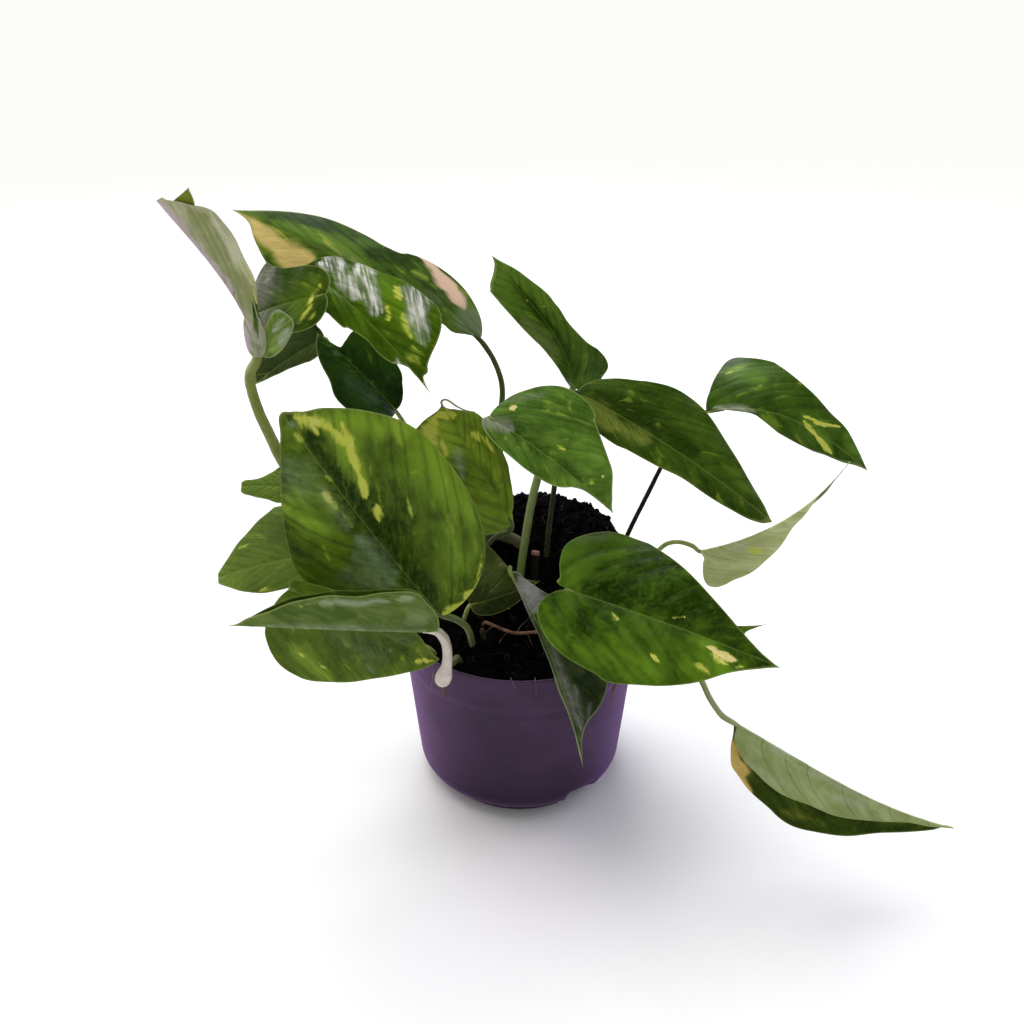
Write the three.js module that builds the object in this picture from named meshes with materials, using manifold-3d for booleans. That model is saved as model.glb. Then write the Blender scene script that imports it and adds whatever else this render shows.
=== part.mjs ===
// A potted pothos: heart-shaped leaves on long stalks that stand in a raised ball of peat,
// in a round, tapered plastic pot. Millimetres, +Z up, the pot's underside at z = 0.
// The side that is seen first looks along -Y.

import * as THREE from 'three';
import { mergeVertices } from 'three/addons/utils/BufferGeometryUtils.js';
import Module from 'manifold-3d';

const wasm = await Module();
wasm.setup();

// Driving dimensions of the pot
const POT_HEIGHT = 90;
const RIM_RADIUS = 60;
const FOOT_RADIUS = 44;
const FOOT_HEIGHT = 4.5;
const FOOT_STEP = 1.2;
const CORNER_HEIGHT = 14;
const CORNER_RADIUS = 52.3;
const BAND_HEIGHT = 71;
const BAND_STEP = 0.5;
const LIP_ROUND = 0.7;
const WALL = 1.6;
const FLOOR = 2;
const POT_SIDES = 48;
const FOOT_NOTCHES = 3;
const FIRST_NOTCH_DEGREES = -48;
const NOTCH_WIDTH = 15;
const NOTCH_DEPTH = 4;
const CORNER_TURNS = [0, 0.35, 0.75, 1.15, Math.PI / 2];

// Driving dimensions of the peat
const CLEARANCE = 0.3;
const PEAT_GAP = 0.5;
const PEAT_RADIUS = 58;
const PEAT_EDGE = 85;
const PEAT_BEAD = 3;
const PEAT_RISE = 45;
const PEAT_FRONT = -44;
const PEAT_CREST = 22;
const PEAT_SPREAD = 0.1;
const PEAT_SUMMIT = 6;
const PEAT_FALL = 0.12;
const PEAT_SHOULDER = 14;
const PEAT_SECTORS = 32;
const PEAT_RINGS = [0.18, 0.36, 0.54, 0.7, 0.82, 0.9, 0.95, 0.98, 1];

// Driving dimensions of every leaf
const BLADE = 0.8;
const FIRST_ROW = 0.035;
const LAST_ROW = 0.985;
const LARGE_LEAF = 60;
const WIDEST_ROW = 0.36;
const ROW_CROWDING = 1.25;
const LOBE_REACH = 1.35;
const LOBE_CORNER = 1.25;
const TIP_SHARE = 0.1;
const TIP_START = 0.86;
const STALK_SIDES = 7;
const STALK_STEP = 9;
const STALK_GRIP = 6;
const STALK_DEPTH = 0.3;
const STALK_TAPER = 0.75;
const BRANCH_SHARE = 0.4;

const LOOKS = {
  pot: { color: 0x3b2a44, roughness: 0.5 },
  peat: { color: 0x17110f, roughness: 0.95 },
  leaf: { color: 0x3c6a1c, roughness: 0.35 },
  pale: { color: 0x8fae74, roughness: 0.6 },
  root: { color: 0x8a5a3c, roughness: 0.6 },
  cut: { color: 0xc79a8c, roughness: 0.6 },
};

// Each leaf: where its blade starts and ends, where its upper side looks (degrees round from the
// front, degrees up), half widths left and right of the midrib, and the share of the length at
// which each half is widest. lobe is how far a half reaches back past the stalk, full how far it
// stays wide towards the tip. fold lifts a half, and curl bends it on towards its margin, in
// degrees; a fold of three numbers is that at the base, middle and tip. arch and sweep bend the
// midrib up and to the right. stalk is the route from the blade down into the peat.
const LEAVES = [
  {
    name: 'leaf_front_right', base: [20, -46, 130], tip: [105, -92, 121], face: [8, 42],
    half: [34, 34], widest: [0.27, 0.28], lobe: [0.16, 0.08], full: [0.28, 0.38],
    fold: [8, 8], curl: [-25, -25], arch: [0.05, 0.07], thick: 3,
    stalk: [[26, -43, 124], [32, -35, 114], [33, -30, 104], [33, -29, 92]],
  },
  {
    name: 'leaf_left_big', base: [-36, -44, 115], tip: [-96, -52, 216], face: [-12, 30],
    half: [39, 44], widest: [0.46, 0.5], lobe: [-0.02, 0.03], full: [0.45, 0.95],
    fold: [6, 6], curl: [-20, -20], arch: [0.06, 0.04], thick: 3.4,
    stalk: [[-30, -42, 112], [-25, -38, 105], [-23, -34, 95], [-22, -32, 82]],
  },
  {
    name: 'leaf_left_fold', base: [-34, -70, 126], tip: [-118, -88, 139], face: [0, 90],
    half: [25, 19], widest: [0.32, 0.28], lobe: [0.03, 0.03], full: [0.4, 0.3],
    fold: [80, 84], curl: [-10, -5], arch: [0.02, 0.02], thick: 5.6,
    stalk: [[-31, -69, 119], [-30, -66, 110], [-31, -63, 99], [-34, -59, 88], [-34, -58, 84]],
    branch: [[-31, -64, 103], [-30, -56, 98], [-29, -48, 95], [-28, -42, 88], [-27, -39, 78]],
  },
  {
    name: 'leaf_left_low', base: [-97, -64, 141], tip: [-36, -58, 101], face: [-10, 20],
    half: [20, 34], widest: [0.3, 0.3], lobe: [0.06, 0.06], full: [0.35, 0.35],
    fold: [-5, 5], curl: [-20, -20], arch: [0.03, 0.03], thick: 3,
    stalk: [[-93, -58, 128], [-80, -50, 110], [-60, -45, 101], [-47, -41, 97], [-40, -36, 88],
      [-38, -34, 77]],
  },
  {
    name: 'leaf_left_side', base: [-86, -18, 133], tip: [-139, -28, 125], face: [-10, 50],
    half: [17, 26], widest: [0.55, 0.42], lobe: [0.02, 0.05], full: [0.7, 0.4],
    fold: [5, 5], curl: [-20, -20], arch: [0.12, 0.12], thick: 2.6,
    stalk: [[-72, -16, 130], [-55, -15, 122], [-43, -14, 110], [-38, -14, 96]],
  },
  {
    name: 'leaf_left_small', base: [-98, -5, 160], tip: [-128, -10, 163], face: [-10, 50],
    half: [9, 11], widest: [0.4, 0.4], lobe: [0.08, 0.08], full: [0.6, 0.6],
    fold: [5, 5], curl: [-20, -20], arch: [0.06, 0.06], thick: 2,
    stalk: [[-84, -4, 153], [-64, -3, 138], [-50, -2, 122], [-45, -1, 104]],
  },
  {
    name: 'leaf_top_left_fold', base: [-110.5, -17, 227.5], tip: [-137, -37, 295], face: [90, 25],
    half: [19, 15], widest: [0.7, 0.12], lobe: [-0.3, 0.05], full: [0.7, 0.1],
    fold: [[60, 72, 85], [75, 85, 80]], curl: [-10, -10], arch: [0.04, 0.07], thick: 3.6,
    stalk: [[-117, -13, 217], [-119, -6, 202], [-116, 2, 185], [-109, 8, 162], [-84, 12, 134],
      [-56, 14, 118], [-47, 14, 102]],
  },
  {
    name: 'leaf_top_long', base: [-20, 60, 211], tip: [-135, 58, 274], face: [-10, 50],
    half: [31, 32], widest: [0.65, 0.38], lobe: [-0.12, 0.02], full: [0.8, 0.6],
    fold: [0, -10], curl: [-20, -40], arch: [0.08, 0.08], thick: 3.2,
    stalk: [[-13, 61, 199], [-9, 57, 187], [-10, 49, 171], [-10, 40, 152], [-10, 32, 134],
      [-10, 28, 116]],
  },
  {
    name: 'leaf_top_glossy', base: [-95, 14, 258], tip: [-39, -20, 216], face: [15, 45],
    half: [27, 10], widest: [0.62, 0.45], lobe: [-0.02, 0.02], full: [0.8, 0.5],
    fold: [12, 12], curl: [-20, -20], arch: [0.13, 0.13], thick: 2.8,
    stalk: [[-92, 16, 249], [-92, 20, 240], [-95, 28, 231], [-97, 35, 221], [-96, 40, 210],
      [-90, 42, 200], [-82, 44, 188], [-62, 46, 168], [-42, 45, 140], [-28, 43, 112]],
  },
  {
    name: 'leaf_upper_left', base: [-83, -9, 252], tip: [-126, 12, 235], face: [10, 40],
    half: [15, 17], widest: [0.3, 0.5], lobe: [0.08, 0.1], full: [0.5, 0.4],
    fold: [8, 8], curl: [-20, -20], arch: [0.06, 0.06], thick: 2.4,
    stalk: [[-88, -6, 249], [-91, 3, 240], [-94, 20, 231], [-94, 29, 222], [-92, 34, 210],
      [-86, 36, 197], [-62, 37, 166], [-46, 34, 140], [-34, 30, 118]],
  },
  {
    name: 'leaf_upper_small', base: [-88.5, 14, 226], tip: [-120.5, 8, 206], face: [-10, 50],
    half: [14, 10], widest: [0.3, 0.3], lobe: [0, 0], full: [0.4, 0.4],
    fold: [10, 10], curl: [-20, -20], arch: [0.06, 0.06], thick: 2,
    stalk: [[-86, 18, 212], [-77, 19, 193], [-60, 18, 170], [-42, 16, 142], [-34, 16, 116]],
  },
  {
    name: 'leaf_upper_dark', base: [-57, 4, 195], tip: [-91, 10, 230], face: [30, 30],
    half: [16, 14], widest: [0.4, 0.4], lobe: [0.02, 0.02], full: [0.5, 0.5],
    fold: [25, 25], curl: [-20, -20], arch: [0.06, 0.06], thick: 2.4,
    stalk: [[-53, 5, 187], [-47, 6, 175], [-38, 6, 150], [-29, 4, 126], [-26, 2, 110]],
  },
  {
    name: 'leaf_back_tall', base: [25, 24, 199], tip: [-12, 44, 253], face: [0, 45],
    half: [12.5, 20], widest: [0.85, 0.14], lobe: [0.02, 0.05], full: [0.7, 0.2],
    fold: [[20, 20, 0], [-10, 70, 0]], curl: [-10, -20], arch: [0.14, 0.1], sweep: [0.12, -0.02], thick: 3.6,
    stalk: [[20, 19, 187], [12, 10, 172], [6, 3, 152], [2, -4, 130], [0, -8, 115], [-1, -10, 100]],
  },
  {
    name: 'leaf_centre', base: [-14, -12, 198], tip: [38, -38, 166], face: [10, 45],
    half: [29, 12], widest: [0.5, 0.36], lobe: [0.02, 0.06], full: [0.7, 0.4],
    fold: [8, 8], curl: [-20, -20], arch: [0.1, 0.1], thick: 2.6,
    stalk: [[-13, -5, 190], [-12, 4, 176], [-10, 10, 158], [-9, 14, 140], [-9, 15, 118]],
  },
  {
    name: 'leaf_centre_yellow', base: [-4, -14, 146], tip: [-36, 2, 199], face: [0, 35],
    half: [27, 8], widest: [0.6, 0.5], lobe: [0.02, 0.02], full: [0.95, 0.6],
    fold: [8, 8], curl: [-20, -20], arch: [0.03, 0.03], thick: 2.6,
    stalk: [[-3, -10, 138], [-5, -6, 128], [-7, -5, 116], [-8, -5, 104]],
  },
  {
    name: 'leaf_right_middle', base: [25, 4, 204], tip: [113, -26, 153], face: [5, 45],
    half: [27, 12], widest: [0.42, 0.4], lobe: [0, 0], full: [0.5, 0.45],
    fold: [0, 8], curl: [-30, -20], arch: [0.08, 0.08], thick: 2.6,
    stalk: [[22, 4, 190], [18, 4, 171], [15, 2, 148], [13, 0, 126], [12, -1, 108]],
  },
  {
    name: 'leaf_right_top', base: [88, 20, 188], tip: [162, 0, 166], face: [0, 40],
    half: [26, 8], widest: [0.28, 0.6], lobe: [0.02, -0.02], full: [0.25, 0.5],
    fold: [0, 0], curl: [-30, -30], arch: [0.3, 0.16], sweep: [-0.12, -0.06], thick: 2.4,
    stalk: [[81, 20, 183], [72, 19, 168], [62, 17, 145], [53, 14, 124], [48, 12, 108], [45, 11, 96]],
  },
  {
    name: 'leaf_right_pale', base: [83, -22, 135], tip: [142, -30, 185], face: [0, -80],
    half: [15, 13], widest: [0.14, 0.14], lobe: [0.03, 0.02], full: [0.3, 0.3],
    fold: [80, 86], curl: [-10, 0], arch: [0.06, 0.08], thick: 2.4,
    stalk: [[79, -21, 138], [73, -19, 139], [68, -17, 137], [63, -14, 130], [55, -10, 118],
      [47, -8, 108],
      [43, -7, 96]],
  },
  {
    name: 'leaf_right_hidden', base: [78, -40, 99], tip: [110, -48, 113], face: [5, 50],
    half: [12, 12], widest: [0.3, 0.3], lobe: [0.06, 0.06], full: [0.4, 0.4],
    fold: [12, 12], curl: [-20, -20], arch: [0.06, 0.06], thick: 2,
    stalk: [[70, -36, 100], [59, -29, 100], [48, -23, 97], [42, -20, 88], [40, -19, 80]],
  },
  {
    name: 'leaf_front_hanging', base: [-6, -30, 135], tip: [28, -84, 60], face: [30, 20],
    half: [24, 7], widest: [0.62, 0.4], lobe: [0.02, 0.02], full: [0.35, 0.3],
    fold: [10, -80], curl: [-15, 0], arch: [0.14, 0.12], thick: 2.4,
    stalk: [[-5, -25, 136], [-4, -18, 131], [-4, -13, 118], [-4, -12, 98]],
  },
  {
    name: 'leaf_front_olive', base: [-23, -29, 111], tip: [9, -19, 118], face: [-20, 0],
    half: [24, 8], widest: [0.3, 0.3], lobe: [0.02, 0.02], full: [0.4, 0.4],
    fold: [10, 10], curl: [-20, -20], arch: [0.06, 0.06], thick: 2.2,
    stalk: [[-26, -27, 104], [-27, -24, 97], [-27, -22, 84]],
  },
  {
    name: 'leaf_right_low', base: [90, -84, 86], tip: [195, -88, 30], face: [0, -85],
    half: [17, 29], widest: [0.28, 0.36], lobe: [-0.04, -0.06], full: [0.5, 0.5],
    fold: [82, 88], curl: [-10, -5], arch: [0.03, 0.03], thick: 3,
    stalk: [[86, -82, 89], [81, -78, 95], [77, -71, 101], [68, -60, 104], [55, -48, 101], [44, -40, 98],
      [35, -34, 88], [33, -33, 78]],
  },
];

const radians = THREE.MathUtils.degToRad;
const vector = (list) => new THREE.Vector3(...list);

// Closed geometry to a solid that can be joined and cut, and back
function solidOf(geometry) {
  const bare = geometry.clone();
  bare.deleteAttribute('normal');
  bare.deleteAttribute('uv');
  const merged = mergeVertices(bare, 1e-4);
  return new wasm.Manifold(new wasm.Mesh({
    numProp: 3,
    vertProperties: new Float32Array(merged.attributes.position.array),
    triVerts: new Uint32Array(merged.index.array),
  }));
}

function geometryOf(solid) {
  const mesh = solid.getMesh();
  const geometry = new THREE.BufferGeometry();
  geometry.setAttribute('position', new THREE.BufferAttribute(new Float32Array(mesh.vertProperties), 3));
  geometry.setIndex(new THREE.BufferAttribute(new Uint32Array(mesh.triVerts), 1));
  return geometry;
}

function geometryFrom(points, triangles) {
  const geometry = new THREE.BufferGeometry();
  geometry.setAttribute('position', new THREE.Float32BufferAttribute(points.flatMap((p) => p.toArray()), 3));
  geometry.setIndex(triangles);
  return geometry;
}

// A fold or curl that changes along the blade: numbers at the base, the middle and the tip
function alongBlade(value, y) {
  if (!Array.isArray(value)) return value;
  const [base, middle, tip] = value;
  return base * (1 - y) * (1 - 2 * y) + middle * 4 * y * (1 - y) + tip * y * (2 * y - 1);
}

// One half of the flat outline, from the notch round the lobe to the tip: x across in
// millimetres, y along as a share of the length
function marginAt(row, half, widest, lobe, full) {
  const lobeCurve = new THREE.CubicBezierCurve(
    new THREE.Vector2(0, 0),
    new THREE.Vector2(TIP_SHARE * half, -LOBE_REACH * lobe),
    new THREE.Vector2(half, -LOBE_CORNER * lobe),
    new THREE.Vector2(half, widest),
  );
  const tipCurve = new THREE.CubicBezierCurve(
    new THREE.Vector2(half, widest),
    new THREE.Vector2(half, widest + full * (1 - widest)),
    new THREE.Vector2(TIP_SHARE * half, TIP_START),
    new THREE.Vector2(0, 1),
  );
  if (row < WIDEST_ROW) return lobeCurve.getPoint(row / WIDEST_ROW);
  return tipCurve.getPoint((row - WIDEST_ROW) / (1 - WIDEST_ROW));
}

// The midrib of a leaf as a curve, with the directions up from the blade and to its right
function midribOf(leaf) {
  const base = vector(leaf.base);
  const tip = vector(leaf.tip);
  const length = base.distanceTo(tip);
  const along = tip.clone().sub(base).divideScalar(length);
  const [round, rise] = leaf.face.map(radians);
  const facing = new THREE.Vector3(
    Math.cos(rise) * Math.sin(round),
    -Math.cos(rise) * Math.cos(round),
    Math.sin(rise),
  );
  const up = facing.addScaledVector(along, -facing.dot(along)).normalize();
  const right = new THREE.Vector3().crossVectors(along, up);
  const sweep = leaf.sweep ?? [0, 0];
  const handle = (share, index) => base.clone()
    .addScaledVector(along, share * length)
    .addScaledVector(up, leaf.arch[index] * length)
    .addScaledVector(right, sweep[index] * length);
  const curve = new THREE.CubicBezierCurve3(base, handle(1 / 3, 0), handle(2 / 3, 1), tip);
  return { curve, length, up };
}

// A half can't fold so far that its lower side meets the other half's: where the blade is
// narrow, near its tip, this is the steepest fold
function foldAt(leaf, side, y, width) {
  const steepest = Math.atan(Math.max(width / 3 - 0.15, 0.1) / (BLADE / 2));
  return THREE.MathUtils.clamp(radians(alongBlade(leaf.fold[side], y)), -steepest, steepest);
}

// A point of the blade: row runs from 0 at the stalk to 1 at the tip, and across from -1 at the
// left margin to 1 at the right one
function bladePoint(leaf, midrib, row, across) {
  const side = across < 0 ? 0 : 1;
  const sign = across < 0 ? -1 : 1;
  const half = leaf.half[side];
  const edge = marginAt(row, half, leaf.widest[side], leaf.lobe[side], leaf.full[side]);
  const start = row ** ROW_CROWDING;
  const x = Math.abs(across) * edge.x;
  const y = start + Math.abs(across) * (edge.y - start);
  const inside = THREE.MathUtils.clamp(y, 0, 1);
  const along = midrib.curve.getTangent(inside);
  const point = midrib.curve.getPoint(inside);
  point.addScaledVector(midrib.curve.getTangent(0), Math.min(y, 0) * midrib.length);
  const up = midrib.up.clone().addScaledVector(along, -midrib.up.dot(along)).normalize();
  const right = new THREE.Vector3().crossVectors(along, up);
  const fold = foldAt(leaf, side, inside, edge.x);
  const curl = radians(leaf.curl[side]) || 1e-4;
  const turned = fold + (curl * x) / half;
  point.addScaledVector(right, (sign * (Math.sin(turned) - Math.sin(fold)) * half) / curl);
  point.addScaledVector(up, ((Math.cos(fold) - Math.cos(turned)) * half) / curl);
  return point;
}

// The blade's middle surface as a grid of points, from the stalk to the tip
function bladeGrid(leaf, rows, columns) {
  const midrib = midribOf(leaf);
  const grid = [];
  for (let i = 0; i < rows; i += 1) {
    const row = FIRST_ROW + ((LAST_ROW - FIRST_ROW) * i) / (rows - 1);
    for (let j = 0; j < columns; j += 1) {
      grid.push(bladePoint(leaf, midrib, row, (2 * j) / (columns - 1) - 1));
    }
  }
  return grid;
}

// The grid's triangles, mirrored about the midrib
function gridFaces(rows, columns) {
  const faces = [];
  for (let i = 0; i + 1 < rows; i += 1) {
    for (let j = 0; j + 1 < columns; j += 1) {
      const a = i * columns + j;
      const b = a + 1;
      const c = a + columns;
      const d = c + 1;
      if (2 * j + 1 < columns) faces.push([a, b, c], [b, d, c]);
      else faces.push([a, b, d], [a, d, c]);
    }
  }
  return faces;
}

// The grid's outer points in order, round the blade's margin
function gridBorder(rows, columns) {
  const border = [];
  for (let j = 0; j < columns - 1; j += 1) border.push(j);
  for (let i = 0; i < rows - 1; i += 1) border.push(i * columns + columns - 1);
  for (let j = columns - 1; j > 0; j -= 1) border.push((rows - 1) * columns + j);
  for (let i = rows - 1; i > 0; i -= 1) border.push(i * columns);
  return border;
}

// The blade as a thin closed solid: the grid thickened along its own normals, with both faces
// split into triangles alike
function bladeGeometry(leaf) {
  const large = vector(leaf.base).distanceTo(vector(leaf.tip)) > LARGE_LEAF;
  const [rows, columns] = large ? [13, 7] : [9, 5];
  const grid = bladeGrid(leaf, rows, columns);
  const faces = gridFaces(rows, columns);
  const normals = grid.map(() => new THREE.Vector3());
  for (const [a, b, c] of faces) {
    const normal = new THREE.Vector3().crossVectors(
      grid[b].clone().sub(grid[a]),
      grid[c].clone().sub(grid[a]),
    );
    for (const corner of [a, b, c]) normals[corner].add(normal);
  }
  const count = grid.length;
  const points = [];
  for (const offset of [BLADE / 2, -BLADE / 2]) {
    grid.forEach((p, k) => points.push(p.clone().addScaledVector(normals[k].clone().normalize(), offset)));
  }
  const triangles = [];
  for (const [a, b, c] of faces) triangles.push(a, b, c, a + count, c + count, b + count);
  const border = gridBorder(rows, columns);
  border.forEach((a, k) => {
    const b = border[(k + 1) % border.length];
    triangles.push(a, a + count, b, b, a + count, b + count);
  });
  return geometryFrom(points, triangles);
}

// A round stem along a route, with its radius set along the way
function stemGeometry(route, radiusAt) {
  const sides = STALK_SIDES;
  const curve = new THREE.CatmullRomCurve3(route, false, 'centripetal');
  const steps = Math.max(3, Math.round(curve.getLength() / STALK_STEP));
  const frames = curve.computeFrenetFrames(steps, false);
  const points = [];
  for (let i = 0; i <= steps; i += 1) {
    const centre = curve.getPointAt(i / steps);
    for (let j = 0; j < sides; j += 1) {
      const angle = (2 * Math.PI * j) / sides;
      const radius = radiusAt(i / steps);
      points.push(centre.clone()
        .addScaledVector(frames.normals[i], radius * Math.cos(angle))
        .addScaledVector(frames.binormals[i], radius * Math.sin(angle)));
    }
  }
  const triangles = [];
  for (let i = 0; i < steps; i += 1) {
    for (let j = 0; j < sides; j += 1) {
      const a = i * sides + j;
      const b = i * sides + ((j + 1) % sides);
      triangles.push(a, b, a + sides, b, b + sides, a + sides);
    }
  }
  const last = steps * sides;
  for (let j = 1; j + 1 < sides; j += 1) {
    triangles.push(0, j + 1, j, last, last + j, last + j + 1);
  }
  return geometryFrom(points, triangles);
}

// The stalk starts a little way up under the midrib, so that blade and stalk are one piece
function stalkRoute(leaf) {
  const midrib = midribOf(leaf);
  const grip = vector(leaf.base)
    .addScaledVector(midrib.curve.getTangent(0), STALK_GRIP)
    .addScaledVector(midrib.up, -leaf.thick * STALK_DEPTH);
  const start = vector(leaf.base).addScaledVector(midrib.up, -leaf.thick * STALK_DEPTH);
  return [grip, start, ...leaf.stalk.map(vector)];
}

function stalkRadius(leaf) {
  return (share) => (leaf.thick / 2) * THREE.MathUtils.lerp(STALK_TAPER, 1, Math.min(1, 2 * share));
}

function leafSolid(leaf) {
  let solid = solidOf(bladeGeometry(leaf));
  solid = solid.add(solidOf(stemGeometry(stalkRoute(leaf), stalkRadius(leaf))));
  if (leaf.branch) {
    solid = solid.add(solidOf(stemGeometry(leaf.branch.map(vector), () => leaf.thick * BRANCH_SHARE)));
  }
  return solid;
}

// The hole that a stem stands in: the stem's own way, wider by the clearance all round
function holeFor(route, radius) {
  const end = route[route.length - 1];
  const beyond = end.clone().sub(route[route.length - 2]).setLength(CLEARANCE).add(end);
  return solidOf(stemGeometry([...route.slice(0, -1), beyond], () => radius + CLEARANCE));
}

// The pot's outside and inside as one profile that starts and ends on the axis
function wallRadius(z) {
  return CORNER_RADIUS + ((RIM_RADIUS - CORNER_RADIUS) * (z - CORNER_HEIGHT)) / (POT_HEIGHT - CORNER_HEIGHT);
}

function cornerPoint(turn) {
  const low = FOOT_RADIUS + FOOT_STEP;
  return new THREE.Vector2(
    low + (CORNER_RADIUS - low) * Math.sin(turn),
    CORNER_HEIGHT - (CORNER_HEIGHT - FOOT_HEIGHT) * Math.cos(turn),
  );
}

function potSolid() {
  const profile = [new THREE.Vector2(0, 0), new THREE.Vector2(FOOT_RADIUS, 0)];
  profile.push(new THREE.Vector2(FOOT_RADIUS, FOOT_HEIGHT));
  for (const turn of CORNER_TURNS) profile.push(cornerPoint(turn));
  profile.push(new THREE.Vector2(wallRadius(BAND_HEIGHT) - BAND_STEP, BAND_HEIGHT));
  profile.push(new THREE.Vector2(wallRadius(BAND_HEIGHT), BAND_HEIGHT + BAND_STEP));
  profile.push(new THREE.Vector2(RIM_RADIUS, POT_HEIGHT - LIP_ROUND));
  profile.push(new THREE.Vector2(RIM_RADIUS - LIP_ROUND / 2, POT_HEIGHT));
  profile.push(new THREE.Vector2(RIM_RADIUS - WALL, POT_HEIGHT));
  profile.push(new THREE.Vector2(CORNER_RADIUS - WALL, CORNER_HEIGHT));
  profile.push(new THREE.Vector2(FOOT_RADIUS - WALL, FLOOR));
  profile.push(new THREE.Vector2(0, FLOOR));
  let pot = solidOf(new THREE.LatheGeometry(profile, POT_SIDES).rotateX(Math.PI / 2));
  for (let k = 0; k < FOOT_NOTCHES; k += 1) {
    const angle = radians(FIRST_NOTCH_DEGREES) + (2 * Math.PI * k) / FOOT_NOTCHES;
    const notch = new THREE.BoxGeometry(NOTCH_DEPTH, NOTCH_WIDTH, 2 * (FOOT_HEIGHT - 1))
      .translate(FOOT_RADIUS, 0, 0)
      .rotateZ(angle);
    pot = pot.subtract(solidOf(notch));
  }
  return pot;
}

// The peat's surface: low at the front, rising to the back, with a steep round shoulder
function smooth(from, to, value) {
  const share = THREE.MathUtils.clamp((value - from) / (to - from), 0, 1);
  return share * share * (3 - 2 * share);
}

function peatHeight(x, y) {
  const slope = smooth(PEAT_FRONT, PEAT_CREST, y + PEAT_SPREAD * Math.abs(x));
  const sides = 1 - PEAT_FALL * smooth(0, RIM_RADIUS, Math.abs(x - PEAT_SUMMIT));
  const shoulder = 1 - Math.min(1, Math.hypot(x, y) / PEAT_RADIUS) ** PEAT_SHOULDER;
  return PEAT_EDGE + (PEAT_BEAD + PEAT_RISE * slope * sides) * shoulder;
}

function peatSolid(holes) {
  const points = [new THREE.Vector3(0, 0, peatHeight(0, 0))];
  const triangles = [];
  const ring = (place) => {
    for (let k = 0; k < PEAT_SECTORS; k += 1) points.push(place((2 * Math.PI * k) / PEAT_SECTORS));
  };
  for (const share of PEAT_RINGS) {
    const radius = share * (PEAT_RADIUS - CLEARANCE);
    ring((a) => {
      const x = radius * Math.cos(a);
      const y = radius * Math.sin(a);
      return new THREE.Vector3(x, y, peatHeight(x, y));
    });
  }
  const side = [[wallRadius(CORNER_HEIGHT) - WALL - PEAT_GAP, CORNER_HEIGHT]];
  side.push([FOOT_RADIUS - WALL - PEAT_GAP, FLOOR + CLEARANCE + PEAT_GAP]);
  for (const [radius, z] of side) {
    ring((a) => new THREE.Vector3(radius * Math.cos(a), radius * Math.sin(a), z));
  }
  const rings = PEAT_RINGS.length + side.length;
  for (let k = 0; k < PEAT_SECTORS; k += 1) {
    const next = (k + 1) % PEAT_SECTORS;
    triangles.push(0, 1 + k, 1 + next);
    for (let r = 0; r + 1 < rings; r += 1) {
      const a = 1 + r * PEAT_SECTORS + k;
      const b = 1 + r * PEAT_SECTORS + next;
      triangles.push(a, a + PEAT_SECTORS, b, b, a + PEAT_SECTORS, b + PEAT_SECTORS);
    }
    const low = 1 + (rings - 1) * PEAT_SECTORS;
    triangles.push(points.length, low + next, low + k);
  }
  points.push(new THREE.Vector3(0, 0, FLOOR + CLEARANCE + PEAT_GAP));
  const peat = solidOf(geometryFrom(points, triangles));
  return peat.subtract(wasm.Manifold.union(holes));
}

// Short stems and roots that stand in the peat: look, thickness and route
const STEMS = [
  {
    name: 'stem_vine', look: 'pale', thick: 6,
    route: [[4, 4, 112], [3, 3, 122], [-1, 2, 129], [-8, 3, 131], [-15, 5, 130], [-19, 6, 122],
      [-20, 6, 112]],
  },
  {
    name: 'stem_cut', look: 'cut', thick: 4.4,
    route: [[7, -9, 100], [7, -9, 108], [7, -10, 118]],
  },
  {
    name: 'stem_stub', look: 'pale', thick: 3,
    route: [[-17, -31, 84], [-17, -31, 92], [-18, -31, 100]],
  },
  {
    name: 'root_lying', look: 'root', thick: 1.6,
    route: [[-16, -24, 92], [-15, -25, 99.6], [-9, -27, 98.4], [-2, -29, 96.8], [5, -29.5, 97],
      [10, -29, 97.4]],
  },
  {
    name: 'root_right', look: 'root', thick: 1.8,
    route: [[40, -36, 84], [41, -37, 91], [43.5, -41, 92.6], [45.5, -43.5, 90], [45.5, -44, 82]],
  },
];

function meshOf(name, solid, look) {
  const material = new THREE.MeshStandardMaterial({ ...LOOKS[look], metalness: 0 });
  const mesh = new THREE.Mesh(geometryOf(solid), material);
  mesh.name = name;
  return mesh;
}

function buildPlant() {
  const plant = new THREE.Group();
  const holes = [];
  for (const leaf of LEAVES) {
    plant.add(meshOf(leaf.name, leafSolid(leaf), 'leaf'));
    const route = leaf.branch ? leaf.branch.map(vector) : stalkRoute(leaf);
    const radius = leaf.branch ? leaf.thick * BRANCH_SHARE : leaf.thick / 2;
    holes.push(holeFor(route, radius));
  }
  for (const stem of STEMS) {
    const route = stem.route.map(vector);
    plant.add(meshOf(stem.name, solidOf(stemGeometry(route, () => stem.thick / 2)), stem.look));
    holes.push(solidOf(stemGeometry(route, () => stem.thick / 2 + CLEARANCE)));
  }
  plant.add(meshOf('peat', peatSolid(holes), 'peat'));
  plant.add(meshOf('pot', potSolid(), 'pot'));
  return plant;
}

export default buildPlant();
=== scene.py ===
"""A potted pothos: leaf blades, stalks, stems, peat and pot, on a pale floor under soft light.

Sizes are in millimetres, and become metres where a mesh is made. Each piece stands where the
solid that it takes the place of stands, and has its form; the blades' margins, the clods, the
dent in the pot's corner and the thickness of a few stalks are finer here. The pot's underside
is at height 0, its middle is the origin, and the viewer looks along +Y.
"""

import math

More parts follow.
